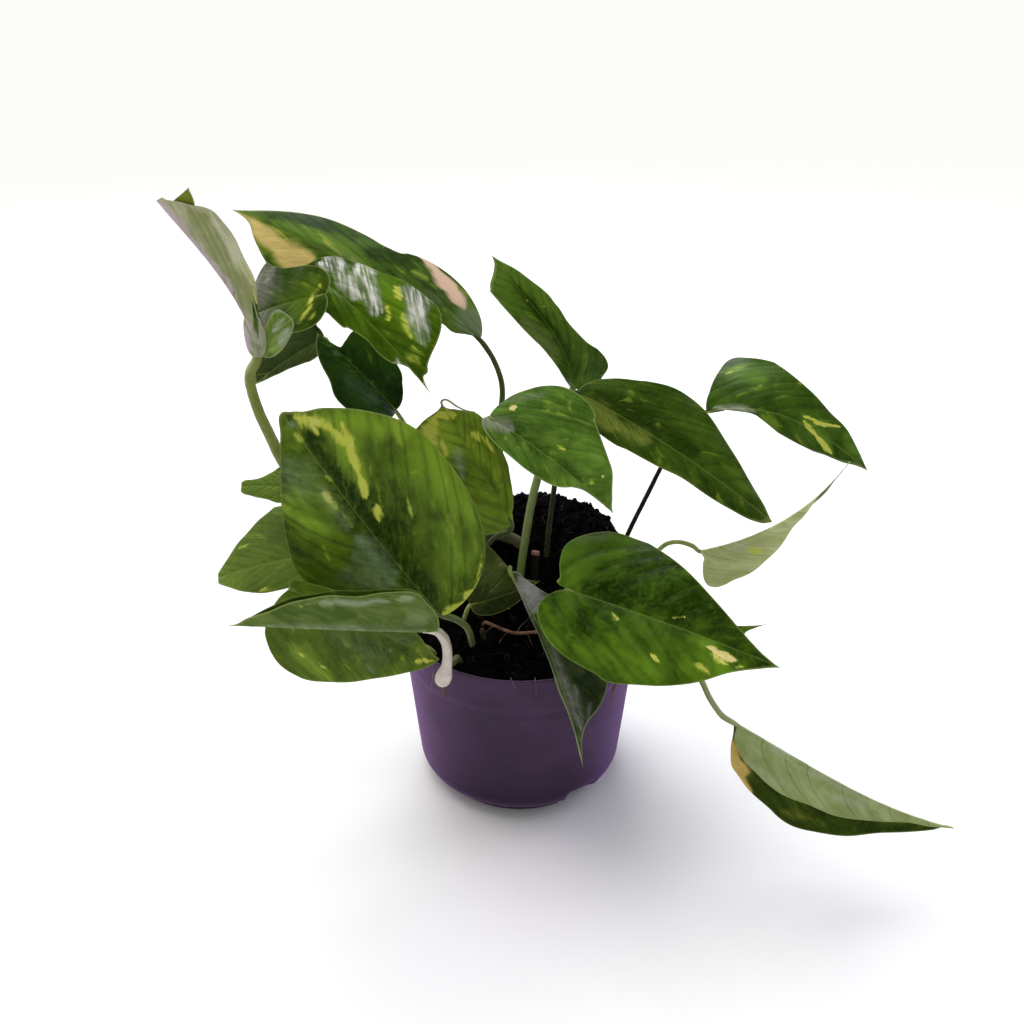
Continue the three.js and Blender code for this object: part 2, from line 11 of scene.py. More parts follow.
import bpy
import numpy as np
from bpy.props import FloatProperty, FloatVectorProperty, IntProperty, PointerProperty
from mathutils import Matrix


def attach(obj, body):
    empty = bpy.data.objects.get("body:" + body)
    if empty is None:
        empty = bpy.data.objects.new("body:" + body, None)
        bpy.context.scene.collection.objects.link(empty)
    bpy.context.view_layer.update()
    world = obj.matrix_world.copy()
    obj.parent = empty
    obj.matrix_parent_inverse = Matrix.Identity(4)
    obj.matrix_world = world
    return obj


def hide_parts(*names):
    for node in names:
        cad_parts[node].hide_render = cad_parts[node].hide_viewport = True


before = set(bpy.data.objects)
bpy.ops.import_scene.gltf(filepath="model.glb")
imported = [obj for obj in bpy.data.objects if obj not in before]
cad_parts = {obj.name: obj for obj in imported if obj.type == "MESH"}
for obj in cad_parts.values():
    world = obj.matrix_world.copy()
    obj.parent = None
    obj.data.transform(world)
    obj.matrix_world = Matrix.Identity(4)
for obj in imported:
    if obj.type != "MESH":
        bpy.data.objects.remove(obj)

bl_info = {
    "name": "Potted pothos",
    "version": (1, 0, 0),
    "blender": (4, 5, 0),
    "location": "3D View > Sidebar > Pothos",
    "description": "Builds a potted pothos on the solids of its model",
    "category": "Add Mesh",
}

MM = 0.001
TURN = 2 * math.pi
TINY = 1e-4

# A blade's outline: the row where its two curves meet, how the rows crowd to the notch, how far
# the lobe's two middle curve points reach behind the notch (in lobes), and where the tip's last
# but one stands (a share of the half width, and of the length), and the step of a trim's curve
WIDEST_ROW = 0.36
ROW_CROWDING = 1.25
LOBE_REACH = 1.35
LOBE_CORNER = 1.25
TIP_SHARE = 0.1
TIP_START = 0.86
TRIM_STEP = 0.02

# A blade's grid: its first and last row, how its columns crowd to the midrib, its rows and columns
# on a large leaf, a small leaf and a flap, the length from which a leaf is large, the length from
# which it quilts and waves in full, what a flap has of both, and the seed of the first flap
FIRST_ROW = 0.006
LAST_ROW = 0.9985
MIDRIB_CROWDING = 0.5
LARGE_GRID = (111, 71)
SMALL_GRID = (71, 45)
FLAP_GRID = (41, 31)
LARGE_LEAF = 60
FULL_LEAF = 80
FLAP_RELIEF = 0.1
FIRST_FLAP_SEED = 50

# A blade's fold: the thickness of the solids' blades, what a narrow half leaves of its width for a
# steep fold (divisor, loss and least), and the millimetres over which the fold is eased
SOLID_BLADE = 0.8
FOLD_ROOM = (3, 0.15, 0.1)
FOLD_ROUND = 0.7

# A blade's relief: its waves (how many along it, how high), how they grow to the margin, how the
# side veins bend forward, how far the right half's stand behind the left half's, how they drift
# (twice: how far, how fast, and how much the two halves differ), and the ridge between two of
# them: where it is full, how it fades in from the midrib, out to the margin and out to the tip
BLADE_WAVES = ((1.3, 1.0), (2.6, 0.55), (4.9, 0.3))
WAVE_GROWTH = 2.2
VEIN_CURVE = 0.9
VEIN_STAGGER = 0.38
VEIN_DRIFT = ((0.16, 2.1), (0.2, 0.13, 1.7))
RIDGE_EDGE = 0.32
RIDGE_START = (0.02, 0.2)
RIDGE_POWER = 5
RIDGE_TIP = 0.06

# A blade's thickness, what it loses at the margin and at the tip, and over what share of its
# length, the midrib's rib below it (the most of the stalk's thickness that counts, the share of
# that, its least, how it falls to the tip, its width as factor and addition, how steep its sides
# are, and the share of the length over which it begins), the side veins' ribs (height, width, and
# the share of them that is sunk into the upper side) and the midrib's groove above it (depth,
# width, and how much shallower it is at the tip)
BLADE_THICK = 0.5
MARGIN_LOSS = 0.45
TIP_LOSS = 0.5
TIP_THINNING = 0.08
RIB_LIMIT = 3.4
RIB_SHARE = 0.36
RIB_LEAST = 0.12
RIB_FALL = 1.4
RIB_WIDTH = (1.2, 0.35)
RIB_STEEP = 1.6
RIB_START = 0.03
FINE_RIB = (0.09, 0.07)
FINE_RIB_SUNK = 0.5
GROOVE = (0.3, 0.9)
GROOVE_FALL = 0.7
CREASE_DEGREES = 55

# How the painted glints that break a leaf's painted sheen slant: their share along and across
# the blade
GLINT_ALONG = 0.842
GLINT_ACROSS = 0.538

# A stalk: how far it runs in under the midrib, how deep below it (in thicknesses), its thickness
# at the blade, its thickness at its very end, its swelling (share, place, width), its bulb's place
# and width, the length over which a bulb's end is rounded, and the side branch's half thickness
STALK_GRIP = 6
STALK_DEPTH = 0.3
STALK_TAPER = 0.75
STALK_END = 0.35
SWELLING = (0.1, 5, 3.5)
BULB = (5.5, 6.5)
BULB_ROUND = 4.2
BRANCH_SHARE = 0.4
BRANCH_SEED = 5

# How tubes are made: corners round, step along (millimetres), how lumpy, and how deep a groove;
# how wide the groove is (radians), how fast the lumps' two waves turn (radians a millimetre), and
# the millimetres that count as one on a tube's own map
TUBES = {
    "stalk": dict(sides=22, step=0.8, lumps=0.012, groove=0.1),
    "branch": dict(sides=20, step=1.0, lumps=0.02),
    "stem": dict(sides=18, step=0.8, lumps=0.03),
    "thread": dict(sides=10, step=0.5, lumps=0.05),
}
GROOVE_SPREAD = 0.45
LUMP_TURNS = (0.9, 0.55)
TUBE_UNIT = 20

# The pot. Its dent is in this file alone: the solid's corner is round all the way
POT_HEIGHT = 90
RIM_RADIUS = 60
FOOT_RADIUS = 44
FOOT_HEIGHT = 4.5
FOOT_STEP = 1.2
CORNER_HEIGHT = 14
CORNER_RADIUS = 52.3
BAND_HEIGHT = 71
BAND_STEP = 0.5
LIP_ROUND = 0.7
WALL = 1.6
POT_FLOOR = 2
FOOT_NOTCHES = 3
FIRST_NOTCH_DEGREES = -48
NOTCH_WIDTH = 15
NOTCH_DEPTH = 4
NOTCH_HEIGHT = 3.5
NOTCH_SLOPE = 0.004
DENT_DEGREES = -53
DENT_WIDTH = 9
DENT_DEPTH = 3.9
DENT_REACH = 7
POT_SIDES = 192
POT_CREASE_DEGREES = 32

# The peat: its room in the pot, its heap (height at the wall, bead there, rise and where it starts
# and ends, how much later at the sides, where it is highest along x, what it falls beside that,
# and the power of its shoulder), its rings and sides, its clods (height, middle and spread along
# x, middle and spread along y), its grain (size, height, seed), its crumbs (least size, span and
# rarity of large ones, how far their corners and their three directions vary, how high above the
# heap their middles stand, as a share of the size, and how far from the wall) and its fibres
# (points, bend, length, lift, radius, how far from the wall, what their first corner is square to)
CLEARANCE = 0.3
PEAT_GAP = 0.5
PEAT_RADIUS = 58
PEAT_EDGE = 85
PEAT_BEAD = 3
PEAT_RISE = 45
PEAT_FRONT = -44
PEAT_CREST = 22
PEAT_SPREAD = 0.1
PEAT_SUMMIT = 6
PEAT_FALL = 0.12
PEAT_SHOULDER = 14
PEAT_RINGS = 90
PEAT_SIDES = 288
PEAT_CREASE_DEGREES = 60
CLODS = ((4, 24, 17, 30, 17), (4, 43, 11, 16, 13))
PEAT_GRAIN = ((9, 1.5, 11), (4.2, 1.1, 12), (2.1, 0.6, 13), (1.2, 0.3, 14))
CRUMB_SIZES = (0.4, 1.4, 2.6)
CRUMB_CORNERS = (0.7, 1.25)
CRUMB_STRETCH = (0.6, 1.3)
CRUMB_LIFT = 0.25
CRUMB_MARGIN = 2
CRUMB_SEED = 21
FIBRE_POINTS = 7
FIBRE_BEND = 0.3
FIBRE_LENGTHS = (2.5, 7)
FIBRE_LIFTS = (0.2, 1.6)
FIBRE_RADII = (0.07, 0.2)
FIBRE_MARGIN = 5
FIBRE_ASIDE = (0.13, 0.21, 0.97)
FIBRE_SEED = 33

# The camera: where it stands (metres), how far it looks down (radians), and its focal length in
# pixels of a picture 1024 pixels wide
CAMERA_PLACE = (-0.004, -0.434, 0.368)
CAMERA_PITCH = 0.475
FOCAL_PIXELS = 1028
PICTURE = 1024
SENSOR = 36.0

# The floor's reach and height, the sun's width and aim, and the soft boxes: place (metres), the
# setting that gives the power and its share, and colour
FLOOR_REACH = 150000.0
FLOOR_HEIGHT = -0.2
FLOOR_TONE = 250
SUN_DEGREES = 55
SUN_AIM = (0.3, -0.3, -1.0)
SUN_COLOUR = (1.0, 0.99, 0.96)
BOX_SIZE = 0.7
BOX_AIM = (0, 0, 0.15)
BOXES = {
    "overhead": ((-0.2, 0.75, 1.1), "top", 1.0, (0.9, 0.95, 1.0)),
    "left rim": ((-1.0, 0.55, 0.3), "rim", 1.0, (1.0, 0.8, 0.94)),
    "right rim": ((1.0, 0.6, 0.3), "rim", 1.9, (0.68, 0.62, 1.0)),
}

# Display colours, 0 to 255 a channel
STALK_DOTS = (196, 190, 150)
PEAT_DEEP = (6, 5, 6)
PEAT_DUSTY = (17, 13, 16)
PEAT_BROWN = (36, 26, 22)
PEAT_SPECKS = (54, 46, 46)
POT_RINGS = (112, 90, 120)
POT_DUST = (118, 100, 118)
# The colour of the painted shade on the pot's lowest part
POT_LOW_SHADE = (34, 24, 36)
POT_SPECKS = (24, 14, 22)
POT_SHEEN = (214, 166, 240)
WOODS = {
    "vine": ("stem skin", (84, 94, 60), (126, 108, 86)),
    "stub": ("stub skin", (62, 58, 42), (42, 36, 30)),
    "bark": ("bark", (26, 20, 18), (16, 13, 13)),
    "cut": ("cut end", (150, 104, 94), (186, 146, 128)),
    "root": ("root skin", (112, 74, 54), (154, 118, 98)),
    "hair": ("root hair", (164, 142, 124), (120, 92, 76)),
    "whip": ("leaf tip skin", (150, 158, 108), (176, 180, 140)),
}
FIBRE_WOOD = ("fibre", (84, 56, 38), (50, 32, 26))

# What most blades have
PLAIN_BLADE = dict(
    widest=(0.3, 0.3), lobe=(0.02, 0.02), full=(0.4, 0.4), fold=(8, 8), curl=(-20, -20),
    arch=(0.06, 0.06), sweep=(0, 0), point=(TIP_SHARE, TIP_START), bulb=0)


def blade(**own):
    """A blade's row: what it doesn't give itself is as on most blades."""
    return {**PLAIN_BLADE, **own}


# One row a leaf: where its stalk meets it, its tip, the way its upper side faces (degrees round
# and up), half its width on each side, how far along each half is widest, how far each lobe
# reaches behind the stalk and how full each half is, as shares of its length, where the tip's
# curve point stands, how far each half is folded up and curled (degrees; one number, or at its
# base, middle and tip), how much the midrib bows up and sideways, how thick its stalk is, how much
# its end swells, and the ways that the stalk and its side branch go
LEAVES = {
    "leaf_front_right": blade(
        base=(20, -46, 130), tip=(105, -92, 121), face=(8, 42), half=(34, 34), widest=(0.27, 0.28),
        lobe=(0.16, 0.08), full=(0.28, 0.38), curl=(-25, -25), arch=(0.05, 0.07), thick=3,
        stalk=((26, -43, 124), (32, -35, 114), (33, -30, 104), (33, -29, 92))),
    "leaf_left_big": blade(
        base=(-36, -44, 115), tip=(-96, -52, 216), face=(-12, 30), half=(39, 44), widest=(0.46, 0.5),
        lobe=(-0.02, 0.03), full=(0.45, 0.95), fold=(6, 6), arch=(0.06, 0.04), thick=3.4,
        stalk=((-30, -42, 112), (-25, -38, 105), (-23, -34, 95), (-22, -32, 82))),
    "leaf_left_fold": blade(
        base=(-35.7, -70, 125.4), tip=(-118, -88, 139), face=(0, 90), half=(25, 19), widest=(0.32, 0.28),
        lobe=(0.03, 0.03), full=(0.4, 0.3), fold=(80, 84), curl=(-10, -5), arch=(-0.02, 0), thick=4.6,
        bulb=0.68, stalk=((-32.8, -69.5, 119.6), (-31.8, -67, 111.3), (-32.8, -63.5, 100), (-34.7, -61, 92),
        (-35, -60.5, 88.5)), branch=((-31, -64, 103), (-30, -56, 98), (-29, -48, 95), (-28, -42, 88),
        (-27, -39, 78))),
    "leaf_left_low": blade(
        base=(-97, -64, 141), tip=(-36, -58, 101), face=(-10, 20), half=(20, 37), lobe=(0.06, 0.06),
        full=(0.35, 0.35), fold=(-5, 5), arch=(0.03, 0.03), thick=3, stalk=((-93, -58, 128),
        (-80, -50, 110), (-60, -45, 101), (-47, -41, 97), (-40, -36, 88), (-38, -34, 77))),
    "leaf_left_side": blade(
        base=(-86, -18, 133), tip=(-139, -28, 125), face=(-10, 50), half=(17, 26), widest=(0.55, 0.42),
        lobe=(0.02, 0.05), full=(0.7, 0.4), fold=(5, 5), arch=(0.12, 0.12), thick=2.6,
        stalk=((-72, -16, 130), (-55, -15, 122), (-43, -14, 110), (-38, -14, 96))),
    "leaf_left_small": blade(
        base=(-98, -5, 160), tip=(-128, -10, 163), face=(-10, 50), half=(9, 11), widest=(0.4, 0.4),
        lobe=(0.08, 0.08), full=(0.6, 0.6), fold=(5, 5), thick=2, stalk=((-84, -4, 153), (-64, -3, 138),
        (-50, -2, 122), (-45, -1, 104))),
    "leaf_top_left_fold": blade(
        base=(-110.5, -17, 227.5), tip=(-137.5, -37, 295.5), point=(0.3, 0.95), face=(90, 25),
        half=(19, 15), widest=(0.7, 0.12), lobe=(-0.3, 0.05), full=(0.7, 0.1),
        fold=((60, 72, 85), (75, 85, 80)), curl=(-10, -10), arch=(0.13, 0.05), thick=5.6,
        stalk=((-116.8, -14, 218.5), (-117.8, -6, 202), (-115.8, 2, 185), (-109, 8, 162), (-84, 12, 134),
        (-56, 14, 118), (-47, 14, 102))),
    "leaf_top_long": blade(
        base=(-20, 60, 211), tip=(-135, 58, 274), face=(-10, 50), half=(31, 32), widest=(0.65, 0.38),
        lobe=(-0.12, 0.02), full=(0.8, 0.6), fold=(0, -10), curl=(-20, -31), arch=(0.08, 0.08), thick=3.2,
        stalk=((-13, 61, 199), (-9, 57, 187), (-10, 49, 171), (-10, 40, 152), (-10, 32, 134),
        (-10, 28, 116))),
    "leaf_top_glossy": blade(
        base=(-95, 14, 258), tip=(-38, -22, 212), point=(0.04, 0.8), face=(15, 45), half=(27, 10),
        widest=(0.62, 0.45), lobe=(-0.02, 0.02), full=(0.8, 0.5), fold=(12, 12), arch=(0.13, 0.13),
        thick=2.8, stalk=((-92, 16, 249), (-92, 20, 240), (-95, 28, 231), (-97, 35, 221), (-96, 40, 210),
        (-90, 42, 200), (-82, 44, 188), (-62, 46, 168), (-42, 45, 140), (-28, 43, 112))),
    "leaf_upper_left": blade(
        base=(-83, -9, 252), tip=(-120.5, 11, 236), face=(10, 40), half=(15, 17), widest=(0.3, 0.5),
        lobe=(0.08, 0.1), full=(0.5, 0.4), thick=2.4, stalk=((-88, -6, 249), (-91, 3, 240), (-94, 20, 231),
        (-94, 29, 222), (-92, 34, 210), (-86, 36, 197), (-62, 37, 166), (-46, 34, 140), (-34, 30, 118))),
    "leaf_upper_small": blade(
        base=(-88.5, 14, 226), tip=(-120.5, 8, 206), face=(-10, 50), half=(14, 10), lobe=(0, 0),
        fold=(10, 10), thick=2, stalk=((-86, 18, 212), (-77, 19, 193), (-60, 18, 170), (-42, 16, 142),
        (-34, 16, 116))),
    "leaf_upper_dark": blade(
        base=(-57, 4, 195), tip=(-91, 10, 230), face=(30, 30), half=(16, 14), widest=(0.4, 0.4),
        full=(0.5, 0.5), fold=(25, 25), thick=2.4, stalk=((-53, 5, 187), (-47, 6, 175), (-38, 6, 150),
        (-29, 4, 126), (-26, 2, 110))),
    "leaf_back_tall": blade(
        base=(25, 24, 199), tip=(-13.5, 44, 256), face=(0, 45), half=(12.5, 20), widest=(0.85, 0.14),
        lobe=(0.02, 0.05), full=(0.7, 0.2), fold=((20, 20, 0), (-10, 70, 0)), curl=(-10, -20),
        arch=(0.14, 0.1), sweep=(0.12, -0.02), thick=4, stalk=((20, 19, 187), (12, 10, 172), (6, 3, 152),
        (2, -4, 130), (0, -8, 115), (-1, -10, 100))),
    "leaf_centre": blade(
        base=(-14, -12, 198), tip=(40, -38, 163.6), face=(10, 45), half=(29, 12), widest=(0.5, 0.36),
        lobe=(0.02, 0.06), full=(0.7, 0.4), arch=(0.1, 0.1), thick=2.6, stalk=((-13, -5, 190),
        (-12, 4, 176), (-10, 10, 158), (-9, 14, 140), (-9, 15, 118))),
    "leaf_centre_yellow": blade(
        base=(-4, -14, 146), tip=(-36, 2, 199), face=(0, 35), half=(27, 8), widest=(0.6, 0.5),
        full=(0.95, 0.6), arch=(0.03, 0.03), thick=2.6, stalk=((-5, -10, 140), (-10, -5, 135.5),
        (-16, -2, 127), (-19, -1, 112))),
    "leaf_right_middle": blade(
        base=(25, 4, 204), tip=(113, -26, 153), face=(5, 45), half=(27, 12), widest=(0.42, 0.4),
        lobe=(0, 0), full=(0.5, 0.45), fold=(0, 8), curl=(-30, -20), arch=(0.08, 0.08), thick=2.6,
        stalk=((22, 4, 190), (18, 4, 171), (15, 2, 148), (13, 0, 126), (12, -1, 108))),
    "leaf_right_top": blade(
        base=(88, 20, 188), tip=(162, 0, 166), face=(0, 40), half=(30, 8), widest=(0.28, 0.6),
        lobe=(0.02, -0.02), full=(0.25, 0.5), fold=(0, 0), curl=(-30, -30), arch=(0.3, 0.16),
        sweep=(-0.12, -0.06), thick=2.4, stalk=((81, 20, 183), (72, 19, 168), (62, 17, 145), (53, 14, 124),
        (48, 12, 108), (45, 11, 96))),
    "leaf_right_pale": blade(
        base=(83, -22, 135), tip=(141.8, -30, 185), point=(0.02, 0.62), face=(0, -80), half=(15, 13),
        widest=(0.14, 0.14), lobe=(0.03, 0.02), full=(0.3, 0.3), fold=(80, 86), curl=(-10, 0),
        arch=(0.12, 0.14), thick=2.4, stalk=((79, -21, 138), (73, -19, 139), (68, -17, 137), (63, -14, 130),
        (55, -10, 118), (47, -8, 108), (43, -7, 96))),
    "leaf_right_hidden": blade(
        base=(78, -40, 99), tip=(110, -48, 113), face=(5, 50), half=(12, 12), lobe=(0.06, 0.06),
        fold=(12, 12), thick=2, stalk=((70, -36, 100), (59, -29, 100), (48, -23, 97), (42, -20, 88),
        (40, -19, 80))),
    "leaf_front_hanging": blade(
        base=(-4.6, -32, 130.6), tip=(27.2, -84, 62), point=(0.04, 0.74), face=(30, 20), half=(24, 7),
        widest=(0.62, 0.4), full=(0.35, 0.3), fold=(10, -80), curl=(-15, 0), arch=(0.14, 0.12), thick=2.4,
        stalk=((-5, -27, 130), (-5.5, -22, 124), (-6, -19, 112), (-6, -18, 95))),
    "leaf_front_olive": blade(
        base=(-23, -29, 111), tip=(9, -19, 118), face=(-20, 0), half=(24, 8), fold=(10, 10), thick=2.2,
        stalk=((-26, -27, 104), (-27, -24, 97), (-27, -22, 84))),
    "leaf_right_low": blade(
        base=(90, -84, 86), tip=(195, -88, 30), face=(0, -85), half=(17, 32), widest=(0.28, 0.36),
        lobe=(-0.04, -0.06), full=(0.5, 0.5), fold=(82, 88), curl=(-10, -5), arch=(0.02, 0.075), thick=3,
        stalk=((86, -82, 89), (81, -78, 95), (77, -71, 101), (68, -60, 104), (55, -48, 101), (44, -40, 98),
        (35, -34, 88), (33, -33, 78))),
}

# How much wider each half of a blade is made, as (row, factor) places: left half, right half
TRIMS = {
    "leaf_front_right": (
        ((0.03, 1), (0.093, 0.62), (0.149, 0.79), (0.205, 0.96), (0.258, 1), (0.301, 1.03), (0.348, 0.97),
        (0.401, 0.93), (0.5, 0.91), (0.692, 0.89), (0.798, 0.86), (0.901, 0.79)),
        ((0.083, 1.35), (0.133, 1.18), (0.192, 1.01), (0.265, 0.92), (0.351, 0.89), (0.401, 0.95),
        (0.5, 0.97), (0.599, 1.03), (0.699, 1.09), (0.798, 1.03), (0.897, 1.1))),
    "leaf_left_big": (
        ((0.374, 0.96), (0.51, 0.93), (0.642, 0.96), (0.712, 1), (0.778, 1.06), (0.831, 1.14),
        (0.887, 1.23), (0.97, 1.8)),
        ((0.106, 0.85), (0.202, 0.93), (0.305, 1), (0.404, 1), (0.606, 1), (0.685, 1.04), (0.742, 1.09),
        (0.808, 1.18), (0.864, 1.24), (0.911, 1.4), (0.944, 1.54), (0.98, 1.9))),
    "leaf_left_low": (
        ((0.04, 1), (0.1, 0.85), (0.16, 0.6), (0.24, 0.45), (0.55, 0.5), (0.68, 0.8), (0.8, 1)),
        ((0.199, 1), (0.245, 0.96), (0.49, 1), (0.589, 1.01), (0.689, 1.05), (0.798, 1.23), (0.894, 1.55),
        (0.95, 1.7))),
    "leaf_left_side": (
        ((0.431, 0.84), (0.52, 0.87), (0.596, 0.92), (0.679, 1.01), (0.755, 1.12), (0.834, 1.37),
        (0.901, 1.81), (0.97, 2.6)),
        ((0.351, 1.12), (0.44, 1.03), (0.533, 1.02), (0.626, 1.04), (0.715, 1.12), (0.801, 1.24),
        (0.891, 1.55), (0.957, 2.1))),
    "leaf_left_small": (
        ((0.411, 0.94), (0.507, 0.88), (0.579, 0.93), (0.662, 1.06), (0.738, 1.27), (0.811, 1.69),
        (0.871, 2.12), (0.97, 4)),
        ((0.391, 0.93), (0.5, 0.74), (0.619, 0.68), (0.705, 0.71), (0.775, 0.93), (0.834, 1.4),
        (0.917, 2.18), (0.97, 3.4))),
    "leaf_top_left_fold": (
        ((0, 1), (0.06, 1.3), (0.13, 1.7), (0.17, 1.1), (0.25, 0.75), (0.381, 0.83), (0.444, 0.93),
        (0.51, 1), (0.613, 0.98), (0.679, 0.96), (0.778, 1), (0.874, 1.07), (0.94, 1.5), (0.98, 1.6)),
        ((0, 0.8), (0.1, 0.5), (0.25, 0.4), (0.5, 0.4), (0.7, 0.4))),
    "leaf_top_long": (
        ((0.103, 0.59), (0.205, 0.23), (0.3, 0.9), (0.603, 0.86), (0.702, 0.88), (0.805, 0.9),
        (0.914, 0.79)),
        ((0.1, 0.85), (0.2, 0.95), (0.25, 1.07), (0.29, 1.16), (0.33, 1.02), (0.365, 0.84), (0.4, 0.72),
        (0.44, 0.72), (0.48, 0.83), (0.53, 0.92), (0.6, 0.96), (0.7, 1), (0.775, 1.02), (0.858, 1.07),
        (0.927, 1.13))),
    "leaf_top_glossy": (
        ((0.1, 1), (0.205, 0.85), (0.285, 0.8), (0.325, 0.95), (0.371, 1.02), (0.507, 0.97), (0.606, 0.94),
        (0.791, 0.92), (0.838, 1), (0.9, 0.7), (0.95, 0.8)),
        ((0.2, 1), (0.334, 1.05), (0.401, 0.85), (0.51, 0.78), (0.586, 0.92), (0.672, 1), (0.801, 0.57),
        (0.861, 0.3), (0.95, 0.4))),
    "leaf_upper_left": (
        (),
        ((0.3, 1), (0.381, 1.06), (0.49, 1.37), (0.619, 2.2), (0.7, 2.2))),
    "leaf_upper_small": (
        ((0.2, 0.7), (0.331, 0.59), (0.401, 0.52), (0.5, 0.47), (0.609, 0.48), (0.735, 0.54), (0.864, 0.84),
        (0.94, 1.2)),
        ((0.2, 1.3), (0.354, 1.78), (0.487, 1.95), (0.662, 2.2), (0.858, 2.1))),
    "leaf_upper_dark": (
        ((0.25, 1.1), (0.33, 1.2), (0.4, 1.18), (0.507, 1.1), (0.599, 1.17), (0.702, 1.33), (0.785, 1.47),
        (0.858, 1.57)),
        ((0.195, 0.84), (0.252, 0.9), (0.311, 1.08), (0.527, 1.09), (0.629, 1.3), (0.709, 0.82),
        (0.78, 0.35), (0.86, 0.3))),
    "leaf_back_tall": (
        ((0.123, 0.79), (0.192, 0.78), (0.265, 0.86), (0.298, 0.99), (0.407, 0.9), (0.603, 0.88),
        (0.695, 0.89), (0.825, 0.93)),
        ((0.2, 1.1), (0.28, 1.07), (0.318, 0.94), (0.354, 0.77), (0.407, 0.61), (0.507, 0.61),
        (0.619, 0.93), (0.702, 1.2), (0.795, 1.18), (0.894, 1.21))),
    "leaf_centre": (
        ((0.123, 0.98), (0.162, 1.06), (0.202, 1.1), (0.248, 1.21), (0.298, 1.25), (0.401, 0.95),
        (0.5, 0.87), (0.599, 0.89), (0.702, 0.96), (0.805, 1), (0.894, 1.1)),
        ((0.298, 0.85), (0.394, 0.93), (0.503, 0.95), (0.599, 0.92), (0.709, 0.6), (0.818, 0.35),
        (0.904, 0.45))),
    "leaf_centre_yellow": (
        ((0.5, 1.05), (0.632, 1.14), (0.712, 1.17), (0.805, 1.25), (0.897, 1.26)),
        ((0.182, 0.61), (0.262, 1.06), (0.298, 1.37), (0.331, 1.7), (0.381, 1.74), (0.477, 1.66),
        (0.576, 1.51), (0.689, 1.41), (0.772, 1.38), (0.907, 1.27))),
    "leaf_right_middle": (
        ((0.202, 0.89), (0.262, 0.96), (0.295, 1.09), (0.338, 1.21), (0.384, 1.17), (0.5, 1.02),
        (0.609, 0.94), (0.705, 0.94), (0.801, 1.03), (0.897, 1.2)),
        ((0.2, 1.2), (0.301, 1.17), (0.338, 1.03), (0.401, 0.99), (0.51, 0.89), (0.603, 1.05),
        (0.692, 1.33), (0.768, 1.62), (0.861, 1.88))),
    "leaf_right_top": (
        ((0.136, 0.86), (0.209, 1.03), (0.258, 1.18), (0.301, 1.07), (0.338, 1.01), (0.397, 0.9),
        (0.497, 0.78), (0.589, 0.73), (0.685, 0.78), (0.795, 1.02), (0.891, 1.12)),
        ((0.086, 0.2), (0.202, 0.2), (0.27, 0.25), (0.305, 0.7), (0.33, 1.15), (0.358, 1.14), (0.52, 1.03),
        (0.709, 1.1))),
    "leaf_right_pale": (
        ((0.05, 0.6), (0.103, 0.62), (0.149, 0.89), (0.195, 1.09), (0.242, 1.21), (0.291, 1.23),
        (0.331, 1.17), (0.361, 1.06), (0.394, 1), (0.493, 0.85), (0.596, 0.74), (0.685, 0.5),
        (0.795, 0.39)),
        ((0.05, 0.6), (0.106, 0.65), (0.152, 0.85), (0.205, 1), (0.265, 1.1), (0.321, 1.06), (0.397, 0.95),
        (0.493, 0.78), (0.606, 0.72), (0.689, 0.45), (0.798, 0.35))),
    "leaf_right_hidden": (
        ((0.5, 0.9), (0.613, 0.6), (0.692, 0.24), (0.788, 0.2), (0.874, 0.21)),
        ((0.55, 1), (0.7, 0.6), (0.775, 0.4), (0.864, 0.4))),
    "leaf_front_hanging": (
        ((0.03, 0.7), (0.089, 0.6), (0.139, 0.45), (0.172, 0.46), (0.222, 0.53), (0.32, 0.85), (0.6, 1),
        (0.689, 1.02), (0.748, 0.97), (0.801, 0.9), (0.854, 0.89), (0.897, 1.02), (0.94, 1.6)),
        ((0.05, 0.5), (0.2, 0.35), (0.9, 0.35))),
    "leaf_front_olive": (
        ((0.3, 1.1), (0.4, 1.2), (0.45, 1.17), (0.497, 1.1), (0.55, 0.98), (0.609, 0.85), (0.662, 0.67)),
        ()),
    "leaf_right_low": (
        ((0.05, 1), (0.093, 1.2), (0.185, 0.96), (0.245, 0.88), (0.298, 0.83), (0.348, 0.88), (0.401, 0.92),
        (0.5, 0.92), (0.599, 0.96), (0.692, 0.91), (0.791, 0.82), (0.871, 0.87)),
        ((0.096, 1.19), (0.152, 1.01), (0.195, 0.96), (0.248, 0.86), (0.295, 0.84), (0.338, 0.84),
        (0.401, 0.9), (0.5, 0.97), (0.599, 1), (0.695, 0.96), (0.795, 1.02), (0.891, 1.24))),
    "leaf_left_fold": (
        ((0.222, 0.82), (0.282, 0.93), (0.331, 0.92), (0.414, 0.86), (0.517, 0.87), (0.616, 0.96),
        (0.692, 1.02), (0.785, 1), (0.884, 1.19)),
        ((0.185, 0.82), (0.242, 0.93), (0.305, 1.01), (0.404, 0.97), (0.51, 1.03), (0.599, 1.17),
        (0.692, 1.3), (0.788, 1.31), (0.901, 1.09))),
}

